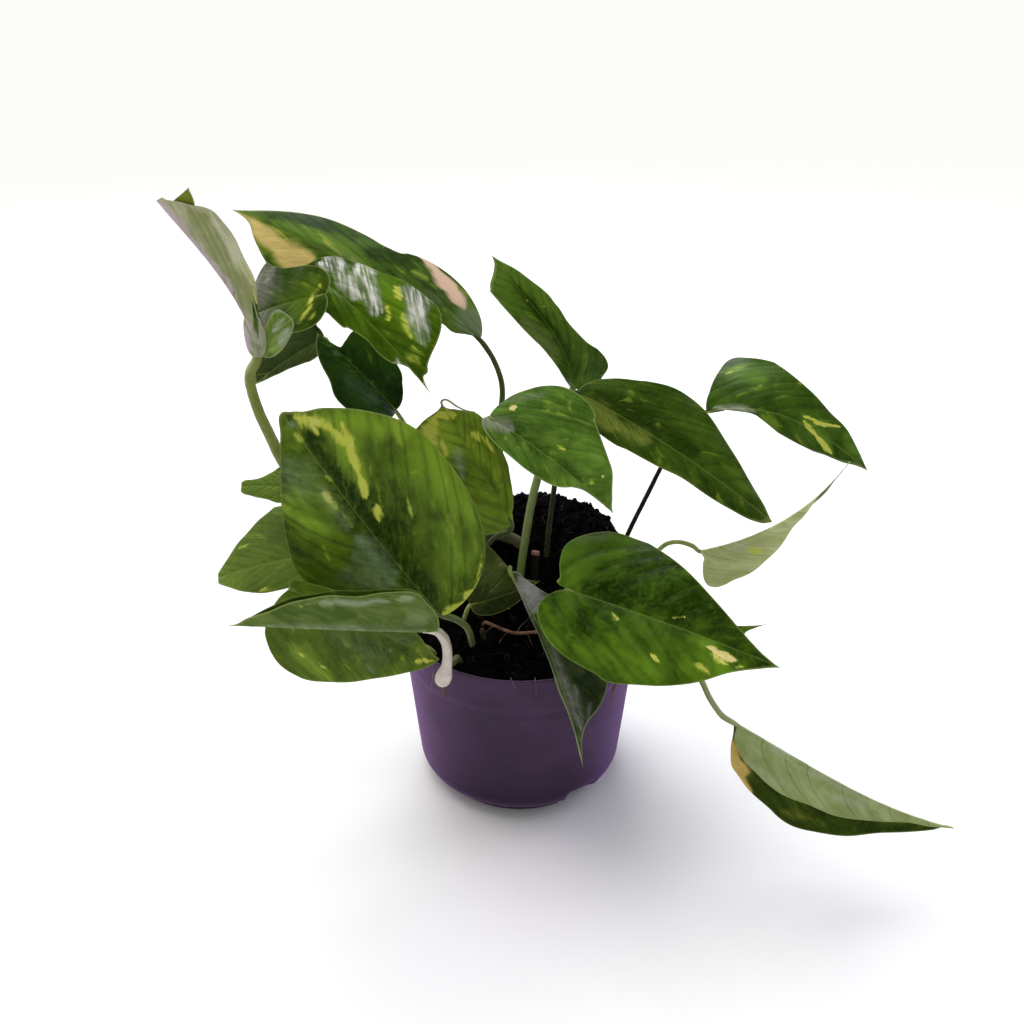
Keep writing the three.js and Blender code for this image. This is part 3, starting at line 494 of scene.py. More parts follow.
# The stems and roots: finish, thickness and way
STEMS = {
    "stem_vine": dict(
        look="vine", thick=5.6, route=((3, 6, 110), (2, 5, 119), (-1.5, 3.5, 127), (-8, 3.5, 130),
        (-15, 5, 130), (-19, 6, 122), (-20, 6, 112))),
    "stem_cut": dict(
        look="bark", thick=4.2, route=((7, -9, 100), (7, -8.4, 110), (7, -5.6, 119), (7.2, -3.6, 124.4))),
    "stem_stub": dict(
        look="stub", thick=3, route=((-17, -31, 84), (-17, -31, 92), (-18, -31, 99.4))),
    "root_lying": dict(
        look="root", thick=1.6, route=((-18, -24.5, 92), (-17, -26, 99.4), (-9.7, -27.5, 97.2),
        (-4, -28.7, 95.6), (1, -29, 95.5), (10, -29.4, 96.6))),
    "root_right": dict(
        look="root", thick=1.8, route=((40, -36, 84), (41, -37, 91), (43.5, -41, 92.6), (45.5, -43.5, 90),
        (45.5, -44, 82))),
}

# Small curled flaps of the folded top leaf's blade, as rows like those of the leaves
FLAP_LEAF = "leaf_top_left_fold"
FLAPS = {
    "flap_near": blade(
        base=(-110.9, -19.6, 228.4), tip=(-111.6, -22, 250.5), face=(180, -30), half=(4.9, 5.7),
        widest=(0.42, 0.3), lobe=(0.03, 0.03), full=(0.55, 0.5), point=(0.25, 0.92), curl=(45, 45),
        arch=(0, 0), thick=1),
    "flap_far": blade(
        base=(-109.8, -18, 228.4), tip=(-99.8, -16, 247.2), face=(-10, 25), half=(3.2, 8),
        widest=(0.7, 0.66), full=(0.9, 0.95), point=(0.6, 0.99), fold=(10, 0), curl=(-20, -40),
        arch=(0.04, 0.04), thick=1),
    "flap_tip": blade(
        base=(-126.6, -35.9, 291.2), tip=(-124.9, -37.1, 300.2), face=(0, -20), half=(5.6, 2.4),
        lobe=(0.01, 0.01), full=(0.1, 0.4), fold=(0, 10), curl=(-10, -20), arch=(0, 0), thick=0.6),
}

# Thin threads: the solid that each belongs to, its slot, the radius at its start and end, and its
# way
THREADS = {
    "thread_tip": ("leaf_centre_yellow", "leaf", (0.6, 0.3), ((-34.9, 1.8, 196.4), (-35.9, 1.6, 200),
    (-34.1, 0.8, 201.3), (-31.8, 0, 200.6), (-28.7, -1, 198.7), (-25.1, -2, 197.3), (-20.6, -3, 196.7))),
    "thread_bulb": ("leaf_left_fold", "root", (0.85, 0.25), ((-34.9, -61.3, 91), (-34.8, -62, 87.5),
    (-34.3, -61.8, 85), (-34.1, -61.6, 82.8))),
    "cut_face": ("stem_cut", "cut_end", (2.15, 2), ((7.15, -3.9, 123.6), (7.2, -3.7, 124.2),
    (7.25, -3.6, 124.8), (7.3, -3.5, 125.3))),
    "thread_right": ("root_right", "root", (0.9, 0.35), ((45.5, -44, 84), (44.6, -44.6, 79),
    (43.2, -44.8, 74), (43.2, -44.8, 68.6))),
    "hair_left": ("peat", "root", (0.16, 0.06), ((-38, -39, 86.5), (-40, -41.5, 88), (-41.2, -44.2, 79),
    (-42.3, -43.2, 72.4), (-43.6, -42.6, 68.9))),
    "hair_middle": ("peat", "root", (0.16, 0.06), ((-5, -54.5, 86), (-4.5, -57.5, 90.6),
    (-3.6, -60.3, 89.4), (-2.4, -60.3, 87.4), (-1.8, -60.1, 86))),
    "hair_right": ("peat", "root", (0.16, 0.06), ((6.2, -54.5, 86), (6.4, -57.5, 90.6), (6.7, -60.3, 89),
    (6.8, -59.9, 85), (6.8, -59.6, 82.3))),
    "hair_a": ("root_lying", "root", (0.14, 0.06), ((-12, -27, 98), (-13.5, -28.5, 98.6),
    (-15.5, -30, 97.6), (-17, -31.5, 96))),
    "hair_b": ("root_lying", "root", (0.14, 0.06), ((-6, -28.3, 96.2), (-7, -30.5, 96), (-9, -32.5, 94.6),
    (-10, -34, 93))),
    "hair_c": ("root_lying", "root", (0.14, 0.06), ((2, -29, 95.6), (3.5, -31, 95.8), (4.4, -33, 94.6),
    (5.6, -35.4, 92.6))),
    "hair_d": ("root_lying", "root", (0.14, 0.06), ((-2, -29, 95.6), (0, -27, 98), (2.4, -24.6, 99),
    (4.4, -22.6, 100.5))),
}

# The shifts that shake the strokes: cell, size and seed of their noise
MARK_SHAKES = ((5.5, 1.1, 41), (2.4, 0.6, 43))

# Which colour layer and channel of a blade holds each kind of stroke: pale holds painted sheen,
# fresh and dark hold painted light and painted shade along with the blade's own lighter and darker
# tone
MARK_PLACES = {"yellow": (0, 0), "cream": (0, 1), "pale": (0, 2),
               "fresh": (1, 0), "dark": (1, 1), "peach": (1, 2)}

# A plain leaf: display colours, 0 to 255 a channel, among them vein, the colour of the painted shade
# in the hollows along the side veins, and sheen, the colour of the painted sheen; how dark that
# painted shade is, how many veins there are a side and how steeply they rise; how much it quilts and
# waves; where a stray haze starts; its roughness; how light its midrib is; how much the painted glints
# break its painted sheen; how ragged its strokes are, and how little its greens differ
PLAIN_LEAF = dict(
    deep=(38, 60, 8), fresh=(84, 114, 24), vein=(30, 48, 8), midrib=(112, 134, 52),
    yellow=(196, 204, 72), cream=(228, 212, 138), sheen=(176, 180, 160), peach=(222, 184, 150),
    under=(112, 130, 64), under_fresh=(140, 156, 86), under_vein=(84, 104, 44),
    margin=(150, 164, 92), stalk=((116, 130, 58), (154, 164, 98)),
    veins=0.3, veins_a_side=8, rise=1.0, quilt=0.5, wave=1.0, spare=0.62, gloss=0.3, rib=0.4,
    broken=0.2, ragged=1, calm=0)
LEAF_LOOKS = {
    "leaf_front_right": dict(
        quilt=2, rise=0.55, veins=0.34, veins_a_side=6, deep=(26, 46, 2), fresh=(84, 118, 20), spare=0.74,
        calm=0.1, yellow=(206, 206, 90)),
    "leaf_left_big": dict(
        sheen=(134, 156, 118), broken=0.3, ragged=0.8, calm=0.05, stalk=((94, 106, 58), (148, 150, 116)),
        deep=(36, 56, 4), fresh=(108, 138, 26), spare=0.64),
    "leaf_left_fold": dict(
        under=(72, 98, 26), under_fresh=(110, 132, 56), sheen=(168, 180, 150),
        stalk=((206, 196, 184), (156, 150, 122)), branch=((84, 96, 46), (120, 128, 80))),
    "leaf_left_low": dict(
        deep=(54, 74, 16), fresh=(106, 130, 34), veins=0.12, calm=0.15, sheen=(120, 132, 104)),
    "leaf_left_side": dict(
        fresh=(112, 134, 54), deep=(78, 98, 34), veins=0.16, calm=0.1, rise=1.6),
    "leaf_left_small": dict(
        fresh=(122, 146, 60), deep=(92, 116, 40)),
    "leaf_top_left_fold": dict(
        rise=3, stalk=((128, 140, 66), (164, 168, 112)), under=(132, 140, 86), under_fresh=(188, 188, 156),
        under_vein=(172, 166, 150), yellow=(160, 168, 84), peach=(188, 168, 180), margin=(176, 166, 132)),
    "flap_near": dict(
        under=(128, 142, 96), under_fresh=(172, 174, 148), under_vein=(180, 168, 172),
        peach=(188, 170, 184), margin=(196, 196, 176), veins_a_side=4),
    "flap_far": dict(
        deep=(78, 108, 36), fresh=(122, 148, 66), sheen=(188, 196, 178), margin=(196, 206, 176),
        veins_a_side=4),
    "flap_tip": dict(
        deep=(96, 118, 18), fresh=(146, 160, 44), veins_a_side=4),
    "leaf_top_long": dict(
        sheen=(108, 118, 84), stalk=((66, 78, 26), (36, 42, 16)), rise=1.9, gloss=0.42, ragged=0.22,
        cream=(232, 206, 126), peach=(210, 178, 148)),
    "leaf_top_glossy": dict(
        sheen=(226, 226, 216), deep=(34, 58, 4), fresh=(84, 116, 18), gloss=0.2, broken=1, rise=2.2),
    "leaf_upper_left": dict(
        deep=(34, 56, 4), fresh=(70, 94, 14), sheen=(140, 150, 124)),
    "leaf_upper_small": dict(
        deep=(44, 56, 24), fresh=(72, 88, 44)),
    "leaf_upper_dark": dict(
        deep=(20, 42, 6), fresh=(48, 84, 20), sheen=(92, 124, 84)),
    "leaf_back_tall": dict(
        deep=(50, 76, 14), fresh=(88, 120, 34), sheen=(116, 128, 70),
        stalk=((92, 110, 50), (124, 138, 80))),
    "leaf_centre": dict(
        deep=(48, 76, 14), fresh=(98, 134, 44), sheen=(144, 142, 132), margin=(176, 188, 132), veins=0.2),
    "leaf_centre_yellow": dict(
        deep=(62, 84, 10), fresh=(122, 146, 36), sheen=(150, 164, 130), stalk=((66, 78, 42), (92, 96, 62))),
    "leaf_right_middle": dict(
        sheen=(124, 136, 52), deep=(34, 52, 4), fresh=(68, 94, 18), veins=0.24,
        stalk=((40, 54, 22), (70, 84, 40))),
    "leaf_right_top": dict(
        fresh=(72, 104, 24), stalk=((24, 30, 14), (84, 94, 54))),
    "leaf_right_pale": dict(
        under=(166, 178, 112), under_fresh=(202, 208, 154), margin=(202, 206, 160),
        stalk=((146, 160, 88), (178, 186, 130))),
    "leaf_front_hanging": dict(
        deep=(34, 46, 22), fresh=(70, 86, 48), sheen=(152, 146, 148), margin=(172, 178, 140)),
    "leaf_front_olive": dict(
        deep=(40, 50, 12), fresh=(78, 90, 34), sheen=(150, 156, 118)),
    "leaf_right_low": dict(
        under=(132, 148, 84), under_fresh=(168, 180, 122), under_vein=(66, 92, 34), deep=(38, 54, 2),
        fresh=(70, 92, 8), cream=(208, 178, 92), yellow=(124, 118, 40), ragged=0.18,
        stalk=((124, 136, 74), (160, 168, 112))),
}

# Strokes on the blades, a kind at a time: from (across, along) to (across, along), half width, all
# in millimetres on the blade's own map, and strength. Pale strokes are painted sheen, and on a few
# blades a paler tone of their own; fresh and dark strokes are partly the blade's own tone and partly
# painted light and painted shade, such as the shaded valley beside a midrib and the shaded half of a fold
MARKS = {
    "leaf_left_big": dict(
        yellow=((2.6, 113.3, 10.8, 106.7, 2.8, 0.85), (10.2, 108.9, 13.4, 101.6, 2.4, 0.9),
        (5.8, 109.1, 6.9, 101.6, 1.6, 0.7), (17.5, 102.5, 14.5, 90, 1.6, 0.9),
        (13.8, 101.6, 13.9, 91.5, 1.8, 0.95), (13.9, 91.5, 11.8, 81.5, 1.6, 1),
        (11.8, 81.5, 8.4, 69.6, 1.1, 1), (10.2, 64.5, 6.6, 56.8, 0.9, 0.85),
        (21.8, 60.2, 17.8, 50, 0.7, 0.55), (17.5, 82.7, 16, 77.1, 0.8, 0.5),
        (-0.9, 86.3, -0.5, 83.3, 1, 0.55), (-6, 81.3, -5.2, 72, 1.5, 0.62),
        (-14.9, 88.2, -15.1, 80, 1.6, 0.5), (-5.2, 69.1, -4.3, 62, 1.5, 0.5), (-20, 62, -22, 54, 1.4, 0.45),
        (-0.9, 107.5, -0.4, 103.7, 1.2, 0.6), (2.2, -0.5, 12, 1.3, 2.6, 1), (12, 1.3, 20.5, 3.6, 1.8, 0.95),
        (20.5, 3.6, 27.5, 9.4, 1.1, 0.85), (27.5, 9.4, 32.6, 18, 1, 0.75)),
        pale=((-9.7, 101.1, -12.3, 84, 7, 0.45), (-5.4, 56, -6.4, 28, 4.6, 0.75),
        (-12, 50, -11, 26, 4, 0.6), (-21.4, 47.6, -16, 33, 5, 0.5), (-6, 84, -7, 62, 3.4, 0.4),
        (-0.3, 112.8, 0.3, 110, 2.3, 0.7)), fresh=((11.2, 108.4, 40.7, 82.4, 5, 0.8),
        (39, 79, 38, 34, 7, 0.7), (14, 100, 10, 74, 4, 0.7), (-14, 90, -17, 66, 7, 0.6),
        (26, 40, 22, 14, 5, 0.5)), dark=((3.4, 104, 4, 58.4, 4.2, 1), (4, 60, 2, 10, 4.2, 0.95),
        (20, 80, 18, 50, 2.4, 0.4), (-29, 80, -31, 61.3, 2.5, 0.5), (9, 74, 8, 30, 4, 0.6))),
    "leaf_top_glossy": dict(
        yellow=((-20.2, 37.2, -17.5, 41.3, 1.8, 0.95), (-11.1, 41.1, -6.4, 47.2, 1, 0.75),
        (-13.4, 47.2, -8.2, 58.5, 1.5, 0.7), (-6.5, 62.5, -4.7, 68.3, 3.9, 0.45)),
        cream=((-1.7, 73.6, 0, 77.8, 1.7, 0.9),), pale=((-5, 5, -12, 14, 3.4, 1),
        (-9, 12, -4.9, 30, 2.6, 1), (-15, 18, -5, 42, 3, 1), (-25, 40, -20, 54, 3.4, 1),
        (-20, 46, -11, 64, 2.8, 0.9), (-16, 16, -18, 26, 2.7, 0.8), (5.3, 60.7, 3.7, 64.6, 2.3, 0.6)),
        fresh=((-18, 30, -10, 60, 4, 0.8),)),
    "leaf_top_long": dict(
        yellow=((-1.3, 115.6, -2.9, 101.8, 0.8, 0.6), (5.6, 88.9, 1.3, 76.8, 1.6, 0.55),
        (3.9, 73, 1.2, 66.5, 1.5, 0.5), (7, 92, 6, 82, 1, 0.5), (13.9, 44.4, 16.2, 34.8, 3, 0.45)),
        cream=((-0.9, 128.2, -6.4, 111, 3.4, 1), (-4.6, 118, -9.8, 100, 4.2, 1),
        (-8, 108, -11.6, 86, 5.4, 1), (-12, 102, -15, 92, 3.4, 0.9), (-0.1, 130.5, -1.5, 123.6, 1.5, 1)),
        pale=((3, 84, 2, 66, 2.4, 0.6), (10, 12, 1.8, 1, 9, 1), (-6, 12, -3, 2, 6, 0.8),
        (6, 34, 5, 24, 4, 0.5)), fresh=((-10.6, 116.7, -14.9, 108.4, 2.4, 0.8), (2, 112, 4, 84, 3, 0.8),
        (8, 98, 4, 62, 4, 0.9)), dark=((-15, 110, -16, 104, 1.4, 0.7), (10.9, 67.3, 30.8, 36.8, 3.9, 0.8),
        (12, 100, 20, 74, 5, 0.7), (6.4, 76.3, 5.9, 63.2, 5.4, 0.6)), peach=((30.5, 40, 28, 30, 3.6, 1),
        (27, 32, 18, 21, 5, 1), (20, 22, 11.5, 14, 3.8, 1))),
    "leaf_upper_left": dict(
        yellow=((5.3, 0.8, -1.8, 6.2, 1.5, 0.55), (-1.6, 4.2, -10.3, 11, 1.6, 0.6),
        (-6, 2, -10, 6, 0.9, 0.6)), pale=((14.2, 36.5, 15.4, 33, 1.3, 0.6),), fresh=((8, 4, -8, 16, 5, 0.9),
        (0.9, 24.2, 2, 15, 2.3, 0.6))),
    "leaf_upper_dark": dict(
        pale=((-1.9, 36.9, 0.2, 34.4, 1.9, 0.9), (-8.2, 25.4, -5.3, 9.8, 4.6, 0.5))),
    "leaf_top_left_fold": dict(
        yellow=((-7.7, 60.6, -7.7, 49.9, 1.2, 0.5), (-9.9, 42.6, -8, 24, 1.1, 0.6),
        (-13.6, 42, -10.6, 24, 0.9, 0.7)), fresh=((-14, 60, -13, 30, 2.6, 0.5),),
        dark=((-9, 66, -8, 44, 4, 0.5), (-6, 46, -6, 20, 3.4, 0.5)), peach=((-0.6, 60, -0.8, 8, 1.5, 0.7),
        (0, 74, -2, 60, 2.4, 0.6))),
    "flap_near": dict(
        fresh=((-2.5, 5, -1, 18, 2.4, 0.9),), dark=((0, 4, 0, 16, 1, 0.5),),
        peach=((4.6, 2, 5, 15, 2.6, 1),)),
    "flap_far": dict(
        pale=((5.5, 8, 5.8, 15, 1.6, 1), (0.4, 12, 2.2, 18.5, 1.2, 0.8)), fresh=((3, 4, 6, 7, 2, 1),)),
    "leaf_back_tall": dict(
        cream=((-0.5, 45.7, -0.8, 45, 0.7, 0.8), (6.9, 37.8, 6.4, 36.8, 0.6, 0.7)),
        pale=((-9, 40, -5.8, 16, 3.6, 0.7),), fresh=((1.5, 63.5, 9.7, 34, 3.9, 0.5),),
        dark=((0.6, 56, 0.6, 12, 1.6, 0.9),)),
    "leaf_centre": dict(
        yellow=((-24.6, 23.6, -25.8, 25.3, 1.1, 0.7), (-5.8, 30.2, -7.5, 34.3, 0.8, 0.7),
        (4.3, 17.3, 5.2, 19, 0.8, 0.6), (-4.2, 52, -3, 53.9, 0.8, 0.6)),
        cream=((-7.7, 5.2, -10.6, 6.5, 1, 1), (-8.9, 54.6, -9, 55.2, 0.8, 0.9)),
        pale=((3.4, -2.6, -1.2, 12.2, 2.9, 0.9), (-8.3, -0.1, -23.9, 11.3, 1.9, 0.4)),
        fresh=((-14.5, 36.5, -14.1, 51.2, 4.6, 0.5),), dark=((-1, 10, -1, 50, 1.8, 0.6),)),
    "leaf_right_middle": dict(
        pale=((5, 1, 5.4, 24, 4.6, 1), (4.6, 22, 4, 40, 3.4, 0.85), (9.5, 56.2, 9.2, 68.3, 1.2, 0.5)),
        fresh=((-8.4, 72.8, -6.9, 82.7, 2.3, 0.7), (-5.8, 79.4, -5.5, 89.2, 1.9, 0.7)),
        dark=((-4, 8, -5, 60, 4, 0.7),)),
    "leaf_right_top": dict(
        yellow=((-21.5, 7.1, -19.3, 4.7, 1.4, 0.6), (-12.7, 18.1, -14.2, 20.4, 0.6, 0.5),
        (-3.6, 40.5, -4.6, 47.7, 0.9, 0.95), (-1.3, 41.5, 2.6, 50.5, 1, 0.95),
        (2.6, 50.5, 5.8, 58.3, 1.4, 1), (-3.1, 47.2, -8.7, 58, 0.7, 0.85), (-5, 44, -4, 52, 0.6, 0.8),
        (-19.1, 33, -19, 36.5, 0.8, 0.5), (-20, 2, -24, 12, 1, 0.5)), pale=((-0.6, 2, 0.2, 20, 1.3, 0.9),),
        fresh=((-22, 6, -16, 20, 4, 0.8), (-4, 40, 4, 58, 4, 0.7), (-6.6, 62.3, -1.9, 73.6, 2.6, 0.8))),
    "leaf_front_right": dict(
        yellow=((7, 68, 8.4, 78, 1.2, 0.7), (12.4, 66, 14.5, 73, 1.2, 0.85),
        (14.7, 47.5, 16.6, 51, 0.7, 0.8), (2.8, 23, 5.7, 26.8, 0.9, 0.5), (7.8, 80.6, 7, 83.8, 0.9, 0.7)),
        cream=((5.4, 70.7, 5.3, 79.6, 1.4, 1), (4.4, 66.8, 5.1, 71.1, 1.3, 0.9),
        (-2.9, 49.9, -5, 53.6, 0.5, 0.8), (13.3, 33.1, 13.3, 33.8, 0.5, 0.9)),
        fresh=((4, 64, 12, 80, 6, 0.6), (15.2, 62.2, 3.2, 86.4, 5.8, 0.4), (11.3, -5.8, 25.9, 10.2, 5, 0.5),
        (21.8, 17.7, 21.4, 54.7, 7.5, 0.5), (-15.3, -8.5, -2.6, 2.7, 4.2, 0.35)),
        dark=((-11.7, 9.5, -19.8, 17.3, 2, 0.6), (-19.8, 17.3, -26.3, 35.9, 2, 0.5),
        (7.3, 10.7, 23.2, 25.5, 1.8, 0.5), (5.4, 20.9, 13.4, 32.4, 1.5, 0.4), (5, 32, 16.3, 51.1, 1.8, 0.5),
        (-11.9, 28.5, -15.5, 41.5, 2, 0.5), (0.5, 43.8, -7.3, 51.7, 2.2, 0.5),
        (1.5, 54.8, -7.9, 78.4, 2.4, 0.5), (6.4, -3.2, 12.2, 1.5, 1.7, 0.4), (-4, 8, -8, 34, 6, 0.9),
        (-4, 34, -14, 70, 8, 0.9), (3, 66, 2, 92, 5, 0.8), (-18, 20, -24, 44, 6, 0.7))),
    "leaf_right_pale": dict(
        yellow=((4.5, 20.5, 8.1, 23.5, 1.2, 1), (-4.2, 20.8, -7.5, 24, 1.2, 1)),
        pale=((7.3, 4.9, -3.7, 20.5, 3.1, 0.6),)),
    "leaf_left_low": dict(
        yellow=((25.8, 32.4, 26.4, 29.5, 0.9, 0.9), (2.3, 69, 6.5, 62, 1.4, 0.8), (23, 17, 26, 22, 1, 0.8)),
        pale=((-0.2, 43.7, -2.8, 59, 2.3, 0.4), (8, 20, 10, 52, 6, 0.35), (16, 45, 18, 50, 1, 0.8)),
        fresh=((22, 14, 31, 34, 5, 0.8), (30, 40, 18, 62, 4, 0.6)), dark=((4, 60, 8, 34, 4, 0.4),)),
    "leaf_left_fold": dict(
        yellow=((-19.5, 50, -19.4, 26, 0.9, 0.5), (-11.9, 57.9, -14, 52, 1.2, 0.5)),
        pale=((-15.4, 44, -17, 22, 2, 0.8), (-18, 18, -18.4, 12, 1.8, 0.8),
        (-14.2, 50, -14.6, 44, 1.6, 0.7), (-0.4, 4, -0.4, 70, 1.8, 0.6), (-7, 4, -4, 14, 6, 0.4)),
        dark=((-8, 34, -8, 66, 3, 0.35),)),
    "leaf_left_side": dict(
        yellow=((-12, 36, -13, 30, 1, 0.7), (9.8, 42.3, 12, 38, 1, 0.6))),
    "leaf_centre_yellow": dict(
        yellow=((-5.5, 60, -13.5, 53, 3.2, 1), (-12, 56, -15, 46, 2.2, 0.9), (3.4, 56, -5, 61, 2.2, 1),
        (-8, 50, -11, 42, 1.2, 0.8), (8, 42, 9.6, 32, 1, 0.8), (6.7, 41, 6, 46, 1.2, 0.8)),
        pale=((-4, 44, -8.6, 30, 2.6, 0.75),), fresh=((-4, 54, -14, 44, 6, 1), (2, 50, 4, 20, 3, 0.6)),
        dark=((2, 40, 1, 16, 2, 0.5),)),
    "leaf_front_hanging": dict(
        pale=((-2.7, 4, -5, 22, 5, 0.9), (-1.6, 30, -2.2, 76, 1.6, 0.6), (-5, 56, -4, 74, 1.4, 0.5),
        (-10.4, 66, -6, 78, 1.2, 0.5)), fresh=((-8, 30, -12, 52, 3, 0.6), (-4, 76, -1, 88, 3, 0.7)),
        dark=((-9, 40, -13, 66, 4, 0.7),)),
    "leaf_front_olive": dict(
        pale=((-17, 16, -14, 22, 1.2, 0.6),), fresh=((-10, 8, -16, 16, 5, 0.6),),
        dark=((3, 6, 3, 24, 3, 0.8),)),
    "leaf_right_low": dict(
        yellow=((24, 46, 22, 62, 2.4, 0.5),), cream=((9, 3, 16.8, 13.8, 5, 1), (16, 12, 23, 22.5, 4.6, 1),
        (21, 20, 26.6, 32, 2.4, 1)), pale=((-12, 12.8, -12, 36, 2.4, 0.5), (-6, 60, -4, 76, 1.6, 0.6),
        (-1.4, 20, -1, 80, 0.9, 0.6)), fresh=((6, 74, 5, 96, 3, 0.7),), dark=((12, 22, 16, 46, 3, 0.8),
        (10, 40, 10.6, 70, 4, 0.7))),
}


# ------------------------------------------------------------------------------ shapes

def unit(vectors):
    """Vectors divided by their own lengths."""
    return vectors / np.linalg.norm(vectors, axis=-1, keepdims=True)


def smooth(start, end, value):
    """0 before start, 1 after end, and 3s^2 - 2s^3 of the share s between them."""
    share = np.clip((value - start) / (end - start), 0, 1)
    return share * share * (3 - 2 * share)


def cubic(points, t):
    """The cubic curve with these four points: (1-t)^3, 3(1-t)^2 t, 3(1-t)t^2 and t^3 of each."""
    t = np.asarray(t, float)[..., None]
    s = 1 - t
    return s**3 * points[0] + 3 * s * s * t * points[1] + 3 * s * t * t * points[2] + t**3 * points[3]


def cubic_slope(points, t):
    """The first derivative of the cubic curve."""
    t = np.asarray(t, float)[..., None]
    s = 1 - t
    return (3 * s * s * (points[1] - points[0]) + 6 * s * t * (points[2] - points[1])
            + 3 * t * t * (points[3] - points[2]))


def along_blade(value, y):
    """One number, or the parabola through its values at the base, the middle and the tip."""
    if not isinstance(value, tuple):
        return np.full_like(y, value, dtype=float)
    base, middle, tip = value
    return base * (1 - y) * (1 - 2 * y) + middle * 4 * y * (1 - y) + tip * y * (2 * y - 1)


def margin(row, half, widest, lobe, full, point):
    """The outline of one half: one cubic curve from the notch round the lobe to the widest place,
    and one from there to the tip, which its third point draws out. x is in millimetres, y is a
    share of the length."""
    share, start = point
    lobe_curve = np.array([(0, 0), (TIP_SHARE * half, -LOBE_REACH * lobe),
                           (half, -LOBE_CORNER * lobe), (half, widest)], float)
    tip_curve = np.array([(half, widest), (half, widest + full * (1 - widest)),
                          (share * half, start), (0, 1)], float)
    low = cubic(lobe_curve, np.clip(row / WIDEST_ROW, 0, 1))
    high = cubic(tip_curve, np.clip((row - WIDEST_ROW) / (1 - WIDEST_ROW), 0, 1))
    return np.where((row < WIDEST_ROW)[..., None], low, high)


def trimmed(row, places):
    """How much wider a half is made at each row: the Catmull-Rom curve through (row, factor)
    places, and the end places' own factors beyond them."""
    if not places:
        return np.ones_like(row)
    curve, _ = smooth_route([(*place, 0.0) for place in places], TRIM_STEP)
    return np.interp(row, curve[:, 0], curve[:, 1])


def midrib_of(leaf):
    """The midrib's four curve points, its length, and the direction up from the blade at the
    stalk. The two middle points stand a third and two thirds along the straight line from the
    base to the tip, set off up and to the right by the leaf's own shares of the length."""
    base, tip = np.array(leaf["base"], float), np.array(leaf["tip"], float)
    length = np.linalg.norm(tip - base)
    along = (tip - base) / length
    turn, rise = np.radians(leaf["face"])
    facing = np.array([math.cos(rise) * math.sin(turn), -math.cos(rise) * math.cos(turn),
                       math.sin(rise)])
    up = unit(facing - along * facing.dot(along))
    right = np.cross(along, up)
    handles = [base + length * (share * along + leaf["arch"][k] * up + leaf["sweep"][k] * right)
               for k, share in enumerate((1 / 3, 2 / 3))]
    return np.array([base, *handles, tip]), length, up


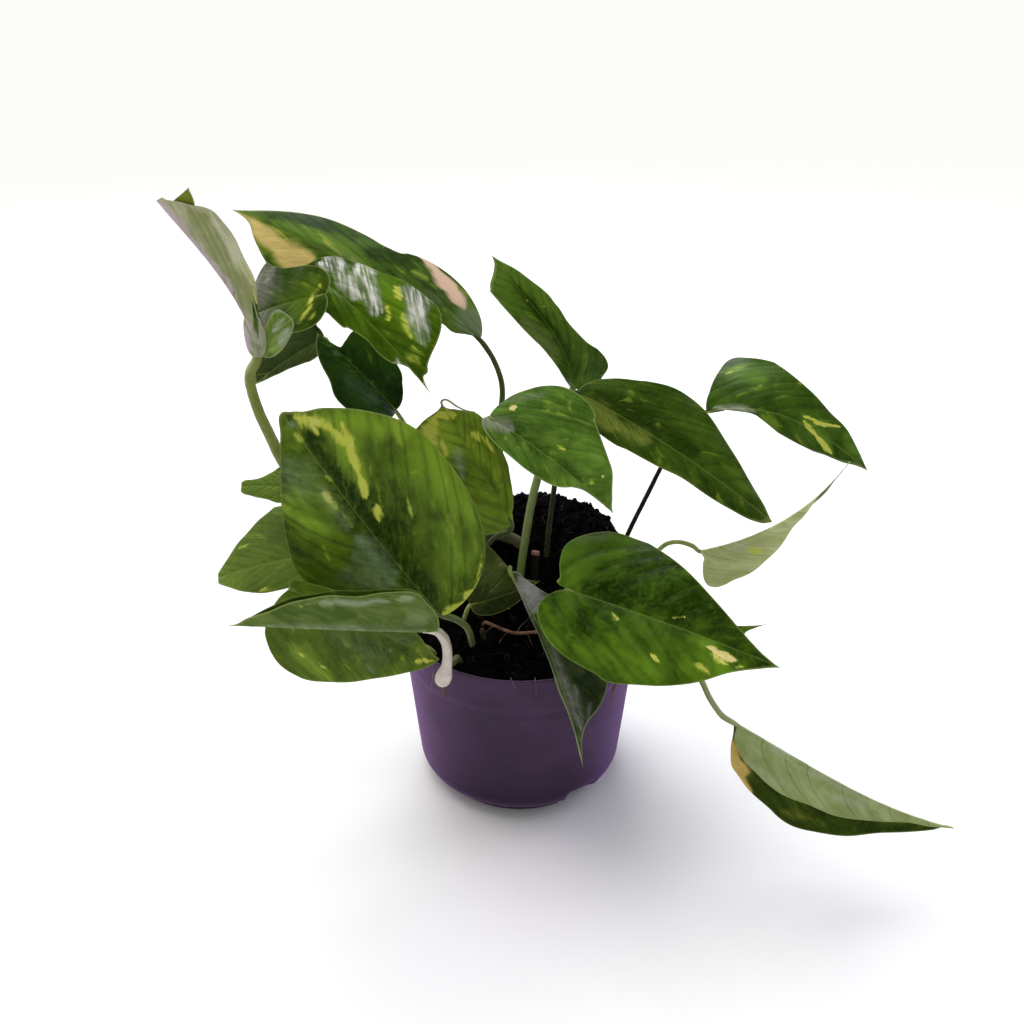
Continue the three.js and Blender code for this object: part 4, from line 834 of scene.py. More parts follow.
def blade_shape(leaf, trims, grid, quilt, wave, rising, veins, seed):
    """The blade as one closed skin. A row's margin points stand on the two outline curves, and
    the points between them are spread from the midrib to the margin. Each is set off from the
    midrib's curve, sideways and up, along an arc that starts at the fold and turns by the curl.
    The arc's start is eased, so the fold is round, and no steeper than the half's width allows.
    To that are added sine waves that grow to the margin, and low ridges between the side veins,
    which rise and bend forward and which two small sine waves keep from standing evenly. The
    upper side stands half the thickness above it, less the groove of the midrib, and the lower
    side half the thickness below, more the midrib's rib, as bell curves across."""
    points, length, up = midrib_of(leaf)
    chance = np.random.default_rng(seed)
    row = np.linspace(FIRST_ROW, LAST_ROW, grid[0])[:, None]
    even = np.linspace(-1, 1, grid[1])[None, :]
    across = even * (MIDRIB_CROWDING + (1 - MIDRIB_CROWDING) * even**2)
    row, across = np.broadcast_arrays(row, across)
    left = across < 0
    sign = np.where(left, -1.0, 1.0)
    share = np.abs(across)
    sides = [margin(row, *[leaf[key][k] for key in ("half", "widest", "lobe", "full")], leaf["point"])
             for k in (0, 1)]
    edge = np.where(left[..., None], *sides)
    wider = np.where(left, *[trimmed(row, places) for places in trims])
    start = row**ROW_CROWDING
    edge = np.stack([edge[..., 0] * wider, start + (edge[..., 1] - start) * wider], axis=-1)
    half = np.where(left, *leaf["half"])
    x = share * edge[..., 0]
    y = start + share * (edge[..., 1] - start)
    inside = np.clip(y, 0, 1)
    slope = unit(cubic_slope(points, inside))
    middle = cubic(points, inside) + np.minimum(y, 0)[..., None] * length * unit(points[1] - points[0])
    upward = unit(up - slope * (slope @ up)[..., None])
    rightward = np.cross(slope, upward)
    divisor, loss, least = FOLD_ROOM
    steepest = np.arctan(np.maximum(edge[..., 0] / divisor - loss, least) / (SOLID_BLADE / 2))
    folds = [np.radians(along_blade(leaf["fold"][k], inside)) for k in (0, 1)]
    fold = np.clip(np.where(left, *folds), -steepest, steepest) * (1 - np.exp(-x / FOLD_ROUND))
    curl = np.radians(np.where(left, *leaf["curl"]))
    curl = np.where(np.abs(curl) < TINY, TINY, curl)
    turned = fold + curl * x / half
    out = (np.sin(turned) - np.sin(fold)) / curl * half
    rise = (np.cos(fold) - np.cos(turned)) / curl * half
    middling = np.sqrt(np.clip(4 * inside * (1 - inside), 0, 1))
    for count, size in BLADE_WAVES:
        shift = chance.uniform(0, TURN, 2)
        swing = np.sin(TURN * count * y + np.where(left, *shift))
        rise = rise + wave * size * swing * share**WAVE_GROWTH * middling
    surface = middle + (sign * out)[..., None] * rightward + rise[..., None] * upward

    reach = rising * x + VEIN_CURVE * x * x / half
    phase = (y * length - reach) / (length / veins) + np.where(left, 0.0, VEIN_STAGGER)
    (far, fast), (farther, slow, apiece) = VEIN_DRIFT
    phase = (phase + far * np.sin(fast * phase + seed)
             + farther * np.sin(slow * x + apiece * sign + seed))
    apart = np.abs(phase - np.round(phase))
    ridge = smooth(0, RIDGE_EDGE, apart) - 0.5
    ridge = ridge * smooth(*RIDGE_START, share) * (1 - share**RIDGE_POWER) * smooth(
        0, RIDGE_TIP, 1 - row)
    normal = unit(np.cross(np.gradient(surface, axis=1), np.gradient(surface, axis=0)))
    surface = surface + (quilt * ridge)[..., None] * normal
    normal = unit(np.cross(np.gradient(surface, axis=1), np.gradient(surface, axis=0)))

    thick = BLADE_THICK * (1 - MARGIN_LOSS * share**4)
    thick = thick * (1 - TIP_LOSS + TIP_LOSS * smooth(0, TIP_THINNING, 1 - row))
    rib = min(leaf["thick"], RIB_LIMIT) * RIB_SHARE * (1 - inside)**RIB_FALL + RIB_LEAST * (1 - inside)
    width = rib * RIB_WIDTH[0] + RIB_WIDTH[1]
    round_rib = rib * np.exp(-(x / width)**2 * RIB_STEEP) * smooth(0, RIB_START, row)
    fine_rib = FINE_RIB[0] * np.exp(-(apart / FINE_RIB[1])**2) * (1 - share)
    groove = GROOVE[0] * (1 - GROOVE_FALL * inside) * np.exp(-(x / GROOVE[1])**2)
    groove = groove + FINE_RIB_SUNK * fine_rib
    upper = surface + (thick / 2 - groove)[..., None] * normal
    lower = surface - (thick / 2 + round_rib + fine_rib)[..., None] * normal
    around = lambda top, low: np.concatenate([top, low[:, ::-1]], axis=1)
    flat = np.stack([phase, sign * x, y * length], axis=-1)
    return {
        "rings": around(upper, lower),
        "leaf_map": around(flat, flat),
        "under": around(np.zeros_like(x), np.ones_like(x)),
        "share": around(share, share),
    }


def smooth_route(route, step):
    """Points evenly along the centripetal Catmull-Rom curve through the route, and how far along
    it each stands: each piece of the curve is the cubic whose end slopes come from the
    neighbours, weighed by the square roots of the gaps."""
    route = np.asarray(route, float)
    knots = np.array([2 * route[0] - route[1], *route, 2 * route[-1] - route[-2]])
    gaps = np.sqrt(np.linalg.norm(np.diff(knots, axis=0), axis=1))[:, None]
    before, here, there, beyond = knots[:-3], knots[1:-2], knots[2:-1], knots[3:]
    g0, g1, g2 = gaps[:-2], gaps[1:-1], gaps[2:]
    leave = g1 * ((here - before) / g0 - (there - before) / (g0 + g1) + (there - here) / g1)
    arrive = g1 * ((there - here) / g1 - (beyond - here) / (g1 + g2) + (beyond - there) / g2)
    t = np.linspace(0, 1, 41)[:-1][None, :, None]
    curve = ((2 * t**3 - 3 * t**2 + 1) * here[:, None] + (t**3 - 2 * t**2 + t) * leave[:, None]
             + (3 * t**2 - 2 * t**3) * there[:, None] + (t**3 - t**2) * arrive[:, None])
    curve = np.concatenate([curve.reshape(-1, 3), route[-1:]])
    run = np.concatenate([[0], np.cumsum(np.linalg.norm(np.diff(curve, axis=0), axis=1))])
    count = max(4, int(round(run[-1] / step)) + 1)
    even = np.linspace(0, run[-1], count)
    return np.stack([np.interp(even, run, curve[:, k]) for k in range(3)], axis=-1), even


def tube_shape(route, radius, seed, sides, step, lumps, groove=0.0):
    """A round profile carried along the route. Each ring stands square to the route, turned by
    the direction in which the whole route varies least. The radius is a function of the distance
    gone and of the whole length, less a groove as a bell curve round the profile, and made lumpy
    by the sum of two sine waves."""
    centre, run = smooth_route(route, step)
    slope = unit(np.gradient(centre, axis=0))
    spread = centre - centre.mean(axis=0)
    steady = np.linalg.svd(spread, full_matrices=False)[2][2]
    first = unit(np.cross(steady, slope))
    second = np.cross(slope, first)
    angle = np.linspace(0, TURN, sides, endpoint=False)[None, :]
    size = radius(run, run[-1])[:, None] * np.ones_like(angle)
    size = size * (1 - groove * np.exp(-((angle - math.pi) / GROOVE_SPREAD)**2))
    fast, slow = (turn * run[:, None] for turn in LUMP_TURNS)
    size = size * (1 + lumps * (np.sin(3 * angle + fast + seed) + np.sin(slow - angle + 2 * seed)))
    ring = (centre[:, None] + (size * np.cos(angle))[..., None] * first[:, None]
            + (size * np.sin(angle))[..., None] * second[:, None])
    flat = np.stack(np.broadcast_arrays(np.cos(angle), np.sin(angle), run[:, None] / TUBE_UNIT), axis=-1)
    return {"rings": ring, "stalk_map": flat}


def stalk_route(leaf):
    """The stalk's route: it starts under the midrib, so that blade and stalk hold together."""
    points, _, up = midrib_of(leaf)
    start = points[0] - leaf["thick"] * STALK_DEPTH * up
    return [start + STALK_GRIP * unit(points[1] - points[0]), start, *leaf["stalk"]]


def stalk_radius(thick, bulb):
    """Half the thickness, three quarters of it at the blade, full from half way, swollen just
    under the blade and narrowing where it runs into the midrib. A bulb adds its share of the
    radius over the last part, as a bell curve, and rounds the end off."""
    def radius(run, whole):
        size = thick / 2 * (STALK_TAPER + (1 - STALK_TAPER) * np.minimum(1, 2 * run / whole))
        share, place, width = SWELLING
        size = size * (1 + share * np.exp(-((run - STALK_GRIP - place) / width)**2))
        place, width = BULB
        size = size * (1 + bulb * np.exp(-((whole - run - place) / width)**2))
        if bulb:
            left = 1 - np.minimum(1, (whole - run) / BULB_ROUND)
            size = size * np.sqrt(np.clip(1 - left**2, 0.02, 1))
        return size * (STALK_END + (1 - STALK_END) * smooth(0, STALK_GRIP, run))
    return radius


def lattice_noise(x, y, cell, seed):
    """Smooth noise from -1 to 1: seeded numbers on a square lattice of this cell, eased between
    its corners."""
    grid = np.random.default_rng(seed).uniform(-1, 1, (256, 256))
    u, v = x / cell + 128, y / cell + 128
    i, j = np.floor(u).astype(int), np.floor(v).astype(int)
    s, t = smooth(0, 1, u - i), smooth(0, 1, v - j)
    at = lambda a, b: grid[(i + a) % 256, (j + b) % 256]
    return (at(0, 0) * (1 - s) + at(1, 0) * s) * (1 - t) + (at(0, 1) * (1 - s) + at(1, 1) * s) * t


def peat_height(x, y):
    """The heap's height: it rises from the front to the crest, falls a little to the sides and
    ends in a round shoulder at the pot's wall."""
    slope = smooth(PEAT_FRONT, PEAT_CREST, y + PEAT_SPREAD * np.abs(x))
    sides = 1 - PEAT_FALL * smooth(0, RIM_RADIUS, np.abs(x - PEAT_SUMMIT))
    shoulder = 1 - np.minimum(1, np.hypot(x, y) / PEAT_RADIUS)**PEAT_SHOULDER
    return PEAT_EDGE + (PEAT_BEAD + PEAT_RISE * slope * sides) * shoulder


def rough_peat(x, y):
    """The heap's height with two low clods behind on the right, as bell curves, and with grain:
    four sizes of seeded noise."""
    height = peat_height(x, y)
    for size, middle, spread, deep, depth in CLODS:
        height = height + size * np.exp(-((x - middle) / spread)**2 - ((y - deep) / depth)**2)
    for cell, size, seed in PEAT_GRAIN:
        height = height + size * lattice_noise(x, y, cell, seed)
    return height


def pot_wall(z):
    """The pot's outer radius at a height above its rounded corner."""
    spread = RIM_RADIUS - CORNER_RADIUS
    return CORNER_RADIUS + spread * (z - CORNER_HEIGHT) / (POT_HEIGHT - CORNER_HEIGHT)


def circle(angle, radius, height):
    """Points of one ring or several: radius times the angle's cosine and sine, and the height."""
    return np.stack(np.broadcast_arrays(radius * np.cos(angle), radius * np.sin(angle), height), axis=-1)


# ------------------------------------------------------------------------------ meshes

def skin(name, shape, sharp=None):
    """A closed mesh from rings of points: four-sided faces between neighbouring rings, and a fan
    to the middle of the first and of the last ring. The other arrays of the shape become
    attributes of the points."""
    rings = np.asarray(shape["rings"], float)
    count, sides = rings.shape[:2]
    points = np.concatenate([rings.reshape(-1, 3), rings[:1].mean(axis=1), rings[-1:].mean(axis=1)])
    index = np.arange(count * sides).reshape(count, sides)
    after = np.roll(index, -1, axis=1)
    quads = np.stack([index[:-1], after[:-1], after[1:], index[1:]], axis=-1).reshape(-1, 4)
    first, last = count * sides, count * sides + 1
    low = np.stack([np.full(sides, first), after[0], index[0]], axis=-1)
    high = np.stack([np.full(sides, last), index[-1], after[-1]], axis=-1)
    extra = {}
    for key, value in shape.items():
        if key != "rings":
            flat = value.reshape(count * sides, -1)
            extra[key] = np.concatenate([flat, flat[:sides].mean(axis=0)[None],
                                         flat[-sides:].mean(axis=0)[None]])
    return mesh_object(name, points, quads, np.concatenate([low, high]), extra, sharp)


def mesh_object(name, points, quads, triangles, extra=None, sharp=None):
    """A mesh object in metres at the origin, from millimetre points, four-sided and three-sided
    faces, and values for its points."""
    mesh = bpy.data.meshes.new(name)
    corners = np.concatenate([np.ravel(quads), np.ravel(triangles)]).astype(np.int32)
    starts = np.concatenate([np.arange(len(quads)) * 4, 4 * len(quads) + np.arange(len(triangles)) * 3])
    mesh.vertices.add(len(points))
    mesh.vertices.foreach_set("co", np.ravel(points * MM).astype(np.float32))
    mesh.loops.add(len(corners))
    mesh.loops.foreach_set("vertex_index", corners)
    mesh.polygons.add(len(starts))
    mesh.polygons.foreach_set("loop_start", starts.astype(np.int32))
    mesh.update(calc_edges=True)
    if mesh.validate():
        raise RuntimeError(f"{name}: its faces don't fit together")
    mesh.polygons.foreach_set("use_smooth", np.ones(len(starts), bool))
    if sharp is not None:
        mesh.set_sharp_from_angle(angle=math.radians(sharp))
    for key, value in (extra or {}).items():
        kind = {1: ("FLOAT", "value"), 3: ("FLOAT_VECTOR", "vector"), 4: ("FLOAT_COLOR", "color")}
        layer, field = kind[value.shape[1]]
        mesh.attributes.new(key, layer, "POINT").data.foreach_set(field, np.ravel(value).astype(np.float32))
    obj = bpy.data.objects.new(name, mesh)
    bpy.context.scene.collection.objects.link(obj)
    return obj


def finish_piece(obj, material, node):
    """Gives a piece its material, hangs it under the root body and hides the solid that it stands for."""
    obj.data.materials.append(material)
    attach(obj, "root")
    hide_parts(node)


# --------------------------------------------------------------------------- materials

def tone(red, green, blue):
    """A display colour of 0 to 255 a channel as the linear colour that a shader takes."""
    shares = np.array([red, green, blue]) / 255
    linear = np.where(shares <= 0.04045, shares / 12.92, ((shares + 0.055) / 1.055)**2.4)
    return (*linear.tolist(), 1.0)


class Recipe:
    """A material's nodes, added one step at a time. An input is a number, a colour or the output
    of another step."""

    def __init__(self, name):
        self.material = bpy.data.materials.new(name)
        self.material.use_nodes = True
        self.tree = self.material.node_tree
        self.tree.nodes.clear()

    def step(self, kind, inputs=None, out=0, **settings):
        """One node with its inputs and settings: the output that is asked for."""
        node = self.tree.nodes.new(kind)
        for key, value in settings.items():
            setattr(node, key, value)
        for key, value in (inputs or {}).items():
            if isinstance(value, bpy.types.NodeSocket):
                self.tree.links.new(value, node.inputs[key])
            else:
                node.inputs[key].default_value = value
        return node.outputs[out]

    def place(self):
        """The point's place on the piece, in metres."""
        return self.step("ShaderNodeTexCoord", out="Object")

    def value(self, name, out="Fac"):
        """One of the piece's own attributes."""
        return self.step("ShaderNodeAttribute", out=out, attribute_name=name)

    def split(self, kind, whole):
        """The three numbers of a vector or a colour."""
        return tuple(self.step(kind, {0: whole}).node.outputs)[:3]

    def parts(self, vector):
        return self.split("ShaderNodeSeparateXYZ", vector)

    def channels(self, name):
        return self.split("ShaderNodeSeparateColor", self.value(name, "Color"))

    def vector(self, x, y, z):
        return self.step("ShaderNodeCombineXYZ", {0: x, 1: y, 2: z})

    def noise(self, vector, scale, detail=3.0, rough=0.55, warp=0.0):
        """Noise from 0 to 1: how many features a unit, how many finer layers are added, how
        strong each is beside the last, and how far the whole is warped."""
        return self.step("ShaderNodeTexNoise", {
            "Vector": vector, "Scale": scale, "Detail": detail, "Roughness": rough,
            "Distortion": warp})

    def cells(self, vector, scale):
        """How far a point is from the nearest of scattered points, so many to a unit."""
        return self.step("ShaderNodeTexVoronoi", {"Vector": vector, "Scale": scale}, out="Distance")

    def math(self, operation, a, b=0.0):
        return self.step("ShaderNodeMath", {0: a, 1: b}, operation=operation)

    def plus(self, a, b):
        return self.math("ADD", a, b)

    def minus(self, a, b):
        return self.math("SUBTRACT", a, b)

    def times(self, a, b):
        return self.math("MULTIPLY", a, b)

    def swing(self, value, amount):
        """A noise from 0 to 1 as a swing to both sides of nothing, over this amount."""
        return self.times(self.minus(value, 0.5), amount)

    def ease(self, value, start, end, low=0.0, high=1.0):
        """Low where the value is up to start, high from end on, and a smooth step between."""
        return self.step("ShaderNodeMapRange", {
            "Value": value, "From Min": start, "From Max": end, "To Min": low, "To Max": high},
            interpolation_type="SMOOTHSTEP")

    def mix(self, share, a, b):
        return self.step("ShaderNodeMix", {0: share, 6: a, 7: b}, out=2, data_type="RGBA")

    def tint(self, colour, other, share, amount):
        """A colour that turns to another by a share of which no more than this amount counts."""
        return self.mix(self.times(share, amount), colour, other)

    def blend(self, share, a, b):
        return self.step("ShaderNodeMix", {0: share, 2: a, 3: b}, data_type="FLOAT")

    def bump(self, height, distance, strength, normal=None):
        """Relief by a height of 0 to 1 over this distance in metres, on top of another relief."""
        inputs = {"Height": height, "Distance": distance, "Strength": strength}
        if normal is not None:
            inputs["Normal"] = normal
        return self.step("ShaderNodeBump", inputs)

    def finish(self, colour, rough, normal, **fixed):
        """The shader and the output; what is fixed is set on the shader's own sockets."""
        shader = self.step("ShaderNodeBsdfPrincipled", {
            "Base Color": colour, "Roughness": rough, "Normal": normal,
            **{key.replace("_", " "): value for key, value in fixed.items()}})
        end = self.tree.nodes.new("ShaderNodeOutputMaterial")
        self.tree.links.new(shader, end.inputs["Surface"])
        return self.material


def leaf_material(name, look, seed):
    """Waxy leaf: two greens that drift in clouds and in streaks along the side veins, moved further by
    fresh and dark strokes that are partly the blade's own tone and partly painted light and shade;
    yellow, cream and peach strokes with a yellow-green haze round them and ragged edges; a painted
    sheen, broken by the veins or by slanting painted glints; veins sunk by a bump, with painted
    shade darkening the hollows along them; a fine midrib and a thin light margin; and a paler,
    duller underside, which carries the painted sheen too."""
    r = Recipe(name)
    own = lambda key: tone(*look[key])
    phase, across, along = r.parts(r.value("leaf_map", "Vector"))
    under = r.value("under")
    yellow, cream, pale = r.channels("marks")
    fresh, dark, peach = r.channels("shades")
    place = r.place()
    drift = r.noise(place, 38.0, 2.0)
    cloud = r.noise(place, 120.0, 3.0, 0.6, 0.4)
    mottle = r.noise(place, 420.0, 3.0, 0.6)
    loose = r.plus(phase, r.swing(cloud, 0.9))
    streaks = r.noise(r.vector(r.times(loose, 1.1), r.times(across, 0.07), seed), 1.6, 2.6, 0.55, 0.4)
    fine = r.noise(r.vector(r.times(loose, 5.0), r.times(across, 0.16), seed + 7), 1.5, 3.0, 0.6, 0.3)
    apart = r.math("PINGPONG", phase, 0.5)
    vein = r.ease(apart, 0.0, 0.05, 1.0, 0.0)
    vein_shade = r.ease(apart, 0.0, 0.26, 1.0, 0.0)
    off = r.math("ABSOLUTE", across)
    midrib = r.ease(off, 0.1, 0.5, 1.0, 0.0)
    inward = r.minus(r.math("DIVIDE", off, r.math("MAXIMUM", r.value("share"), 0.05)), off)
    rim = r.ease(inward, 0.15, 0.6, 1.0, 0.0)

    calm = look["calm"]
    balance = r.plus(r.plus(r.times(drift, 0.6), r.times(streaks, 0.35)), r.times(cloud, 0.35))
    # The fresh and dark strokes move the green between its two tones: partly the blade's own tone, partly
    # painted light and painted shade
    balance = r.plus(balance, r.times(r.minus(fresh, dark), 0.35))
    greens = r.mix(r.ease(balance, 0.42 - calm, 0.9 + calm), own("deep"), own("fresh"))
    lively = tone(*[min(255, c * 1.2 + 5) for c in look["fresh"]])
    greens = r.tint(greens, lively, r.ease(r.plus(fresh, r.swing(streaks, 1.0)), 0.2, 0.9), 0.65)
    greens = r.tint(greens, lively, r.ease(fine, 0.48, 0.72), 0.22)
    greens = r.tint(greens, lively, r.ease(mottle, 0.4, 0.8), 0.14)
    haze = tone(*[0.45 * a + 0.55 * b for a, b in zip(look["yellow"], look["fresh"])])
    spread = r.ease(r.plus(streaks, r.swing(cloud, 0.7)), look["spare"], look["spare"] + 0.14)
    greens = r.tint(greens, haze, spread, 0.5)
    # Painted shade: the green darkens towards the vein colour in the hollows along the side veins
    greens = r.tint(greens, own("vein"), vein_shade, look["veins"])

    ragged = r.plus(r.swing(streaks, 1.3), r.swing(fine, 0.8))
    ragged = r.plus(ragged, r.plus(r.swing(cloud, 0.6), r.swing(mottle, 0.3)))
    ragged = r.times(ragged, look["ragged"])
    shaken = lambda mask: r.plus(mask, r.times(ragged, r.ease(mask, 0.0, 0.35)))
    core = lambda mask: r.ease(shaken(mask), 0.36, 0.72)
    around = r.ease(r.math("MAXIMUM", shaken(yellow), shaken(cream)), 0.12, 0.5)
    gold = r.mix(r.ease(streaks, 0.42, 0.8, 0.0, 0.6), own("yellow"), own("cream"))
    sand = r.mix(r.ease(fine, 0.35, 0.7), own("cream"), tone(*[c * 0.9 for c in look["cream"]]))
    # Painted sheen: the sheen colour laid over the pale strokes, broken by streaks along the veins and, as
    # far as the leaf's broken setting asks, by slanting painted glints
    slant = r.minus(r.times(across, GLINT_ALONG), r.times(along, GLINT_ACROSS))
    down = r.plus(r.times(across, GLINT_ACROSS), r.times(along, GLINT_ALONG))
    glints = r.noise(r.vector(slant, r.times(down, 0.12), seed), 0.62, 3.0, 0.55, 0.3)
    broken = r.blend(look["broken"], r.ease(fine, 0.34, 0.66, 0.42, 0.9),
                     r.ease(glints, 0.36, 0.66, 0.12, 1.0))
    soft = r.plus(pale, r.times(ragged, r.ease(pale, 0.0, 0.5, 0.0, 0.4 * look["broken"])))
    painted_sheen = r.times(r.ease(soft, 0.02, 0.95), broken)
    upper = r.tint(greens, haze, around, 0.6)
    upper = r.tint(upper, gold, core(yellow), 0.88)
    upper = r.mix(core(cream), upper, sand)
    upper = r.mix(r.ease(shaken(peach), 0.12, 0.66), upper, own("peach"))
    upper = r.tint(upper, own("midrib"), midrib, look["rib"])
    upper = r.tint(upper, own("margin"), rim, 0.4)
    upper = r.mix(painted_sheen, upper, own("sheen"))

    shade = r.plus(r.times(streaks, 0.6), r.times(cloud, 0.4))
    shade = r.plus(shade, r.times(r.minus(fresh, dark), 0.4))
    lower = r.mix(r.ease(shade, 0.3, 0.74), own("under"), own("under_fresh"))
    blush = r.ease(shaken(peach), 0.2, 0.7)
    for key, share, amount in (("under_vein", vein, 0.4), ("yellow", core(yellow), 0.7),
                               ("cream", core(cream), 0.75), ("peach", blush, 0.8),
                               ("margin", rim, 0.5), ("sheen", painted_sheen, 0.85)):
        lower = r.tint(lower, own(key), share, amount)
    colour = r.mix(under, upper, lower)
    gloss = look["gloss"]
    rough = r.blend(under, r.ease(mottle, 0.3, 0.8, gloss - 0.04, gloss + 0.08), 0.55)
    grain = r.plus(r.times(r.cells(place, 2600.0), 0.35), r.times(r.noise(place, 900.0, 2.0), 0.65))
    normal = r.bump(r.minus(0.0, vein), 0.0001, 0.5, r.bump(grain, 0.00004, 0.5))
    return r.finish(colour, rough, normal, Specular_IOR_Level=0.24)


def stalk_material(name, main, side_colour_and_shade, seed):
    """Smooth stalk skin: lengthwise streaks, one side in a second colour that is partly the stalk's own
    streak and partly painted light and shade on that side, small pale dots.
    """
    r = Recipe(name)
    side, front, run = r.parts(r.value("stalk_map", "Vector"))
    place = r.place()
    lengthwise = r.noise(r.vector(r.times(side, 2.4), r.times(front, 2.4),
                                  r.plus(r.times(run, 0.25), seed)), 1.6, 3.0, 0.6)
    turned = r.plus(r.times(side, -0.8), r.times(front, 0.25))
    share = r.ease(r.plus(turned, r.swing(lengthwise, 1.4)), 0.25, 0.65)
    colour = r.mix(share, tone(*main), tone(*side_colour_and_shade))
    cloud = r.noise(place, 160.0, 3.0)
    lively = tone(*[min(255, c * 1.25 + 8) for c in main])
    colour = r.tint(colour, lively, r.ease(cloud, 0.4, 0.75), 0.35)
    dots = r.ease(r.cells(place, 900.0), 0.08, 0.2, 0.35, 0.0)
    colour = r.mix(dots, colour, tone(*STALK_DOTS))
    normal = r.bump(lengthwise, 0.0002, 0.5, r.bump(r.noise(place, 1400.0, 2.0), 0.00005, 0.5))
    return r.finish(colour, r.ease(cloud, 0.3, 0.8, 0.36, 0.52), normal, Specular_IOR_Level=0.45)


def woody_material(name, main, second):
    """Dull cut or root skin: two tones in fine fibres and small pits."""
    r = Recipe(name)
    place = r.place()
    patches = r.noise(place, 210.0, 4.0, 0.65, 0.4)
    fibres = r.noise(place, 1320.0, 3.0, 0.6)
    colour = r.mix(r.ease(patches, 0.38, 0.66), tone(*main), tone(*second))
    colour = r.tint(colour, tone(*[c * 0.55 for c in main]), fibres, 0.3)
    normal = r.bump(fibres, 0.0002, 0.7, r.bump(patches, 0.0004, 0.5))
    return r.finish(colour, r.ease(patches, 0.3, 0.7, 0.55, 0.75), normal, Specular_IOR_Level=0.35)


def peat_material(name, deep, dusty):
    """Moist peat: near black with purple and brown crumbs, fine grit and dull roughness."""
    r = Recipe(name)
    place = r.place()
    clods = r.noise(place, 150.0, 5.0, 0.7)
    grit = r.cells(place, 1100.0)
    colour = r.mix(r.ease(clods, 0.42, 0.68), tone(*deep), tone(*dusty))
    brown = r.ease(r.noise(place, 700.0, 3.0, 0.6), 0.56, 0.74, 0.0, 0.75)
    colour = r.mix(brown, colour, tone(*PEAT_BROWN))
    specks = r.ease(r.noise(place, 2300.0, 2.0, 0.5), 0.68, 0.76, 0.0, 0.5)
    colour = r.mix(specks, colour, tone(*PEAT_SPECKS))
    fine = r.noise(place, 1700.0, 4.0, 0.7)
    normal = r.bump(fine, 0.0006, 0.8, r.bump(grit, 0.0005, 0.6))
    return r.finish(colour, r.ease(clods, 0.3, 0.7, 0.75, 0.95), normal, Specular_IOR_Level=0.03)


def pot_material(name, look):
    """Moulded plastic: faint rings left by the mould, a satin skin, dust, dark specks, and painted
    shade that darkens its lowest part towards the floor.
    """
    r = Recipe(name)
    place = r.place()
    x, y, z = r.parts(place)
    rings = r.noise(r.vector(r.times(x, 14.0), r.times(y, 14.0), r.times(z, 620.0)), 1.0, 4.0, 0.6)
    cloud = r.noise(place, 46.0, 4.0, 0.6)
    dust = r.noise(place, 520.0, 3.0, 0.7)
    colour = r.mix(r.ease(cloud, 0.35, 0.7), tone(*look.dark), tone(*look.light))
    colour = r.tint(colour, tone(*POT_RINGS), r.ease(rings, 0.5, 0.75), 0.12)
    colour = r.tint(colour, tone(*POT_DUST), r.ease(dust, 0.62, 0.78), 0.2)
    # Painted shade: the pot darkens towards the floor
    colour = r.mix(r.ease(z, 0.012, 0.05, 0.55, 0.0), colour, tone(*POT_LOW_SHADE))
    few = r.ease(r.noise(place, 60.0, 2.0), 0.46, 0.6)
    specks = r.times(r.ease(r.cells(place, 330.0), 0.04, 0.1, 0.8, 0.0), few)
    colour = r.mix(specks, colour, tone(*POT_SPECKS))
    rough = r.ease(r.plus(dust, rings), 0.7, 1.3, 0.4, 0.58)
    normal = r.bump(rings, 0.00005, 0.5, r.bump(r.noise(place, 1600.0, 3.0, 0.6), 0.00007, 0.6))
    return r.finish(colour, rough, normal, Specular_IOR_Level=0.4, Sheen_Weight=0.55,
                    Sheen_Roughness=0.45, Sheen_Tint=tone(*POT_SHEEN))


def stage_material(name, value):
    """Pale matt paper with the faintest mottling."""
    r = Recipe(name)
    cloud = r.noise(r.place(), 6.0, 3.0)
    colour = r.mix(cloud, tone(value, value, value), tone(value - 3, value - 3, value - 3))
    return r.finish(colour, 0.9, r.bump(r.noise(r.place(), 300.0, 2.0), 0.0001, 0.3),
                    Specular_IOR_Level=0.0)


def marks_of(name, flat):
    """The strokes of a blade as two colours a point: a stroke falls off evenly from its straight
    line on the blade's own map, through one half on its edge, to nothing at twice its width. It
    is a spindle: its width grows from a third at its ends as the root of 4s(1-s). The map is
    first shifted by two sizes of seeded noise, so that no stroke has a plain outline."""
    marks = np.zeros((2, *flat.shape[:2], 4))
    marks[..., 3] = 1
    x, y = flat[..., 1], flat[..., 2]
    for cell, size, seed in MARK_SHAKES:
        x, y = (x + size * lattice_noise(x, y * 0.6, cell, seed),
                y + 1.4 * size * lattice_noise(x, y * 0.6, cell, seed + 1))
    for kind, strokes in MARKS.get(name, {}).items():
        layer, channel = MARK_PLACES[kind]
        for x0, y0, x1, y1, half, strength in strokes:
            dx, dy = x1 - x0, y1 - y0
            share = np.clip(((x - x0) * dx + (y - y0) * dy) / (dx * dx + dy * dy), 0, 1)
            away = np.hypot(x - x0 - share * dx, y - y0 - share * dy)
            half = half * (0.35 + 0.75 * np.sqrt(4 * share * (1 - share)))
            patch = strength * np.clip(1 - 0.5 * away / half, 0, 1)
            marks[layer, ..., channel] = np.maximum(marks[layer, ..., channel], patch)
    return {"marks": marks[0], "shades": marks[1]}


def look_of(name):
    """A leaf's looks: a plain leaf's, with its own in their place."""
    return {**PLAIN_LEAF, **LEAF_LOOKS.get(name, {})}


# -------------------------------------------------------------------------- properties

class PothosLeafSettings(bpy.types.PropertyGroup):
    quilt: FloatProperty(
        name="Quilting", description="How far the blade puffs up between its side veins",
        default=0.3, min=0, max=1.5)
    wave: FloatProperty(
        name="Margin waves", description="How far the margins wave up and down, in millimetres",
        default=0.9, min=0, max=4)


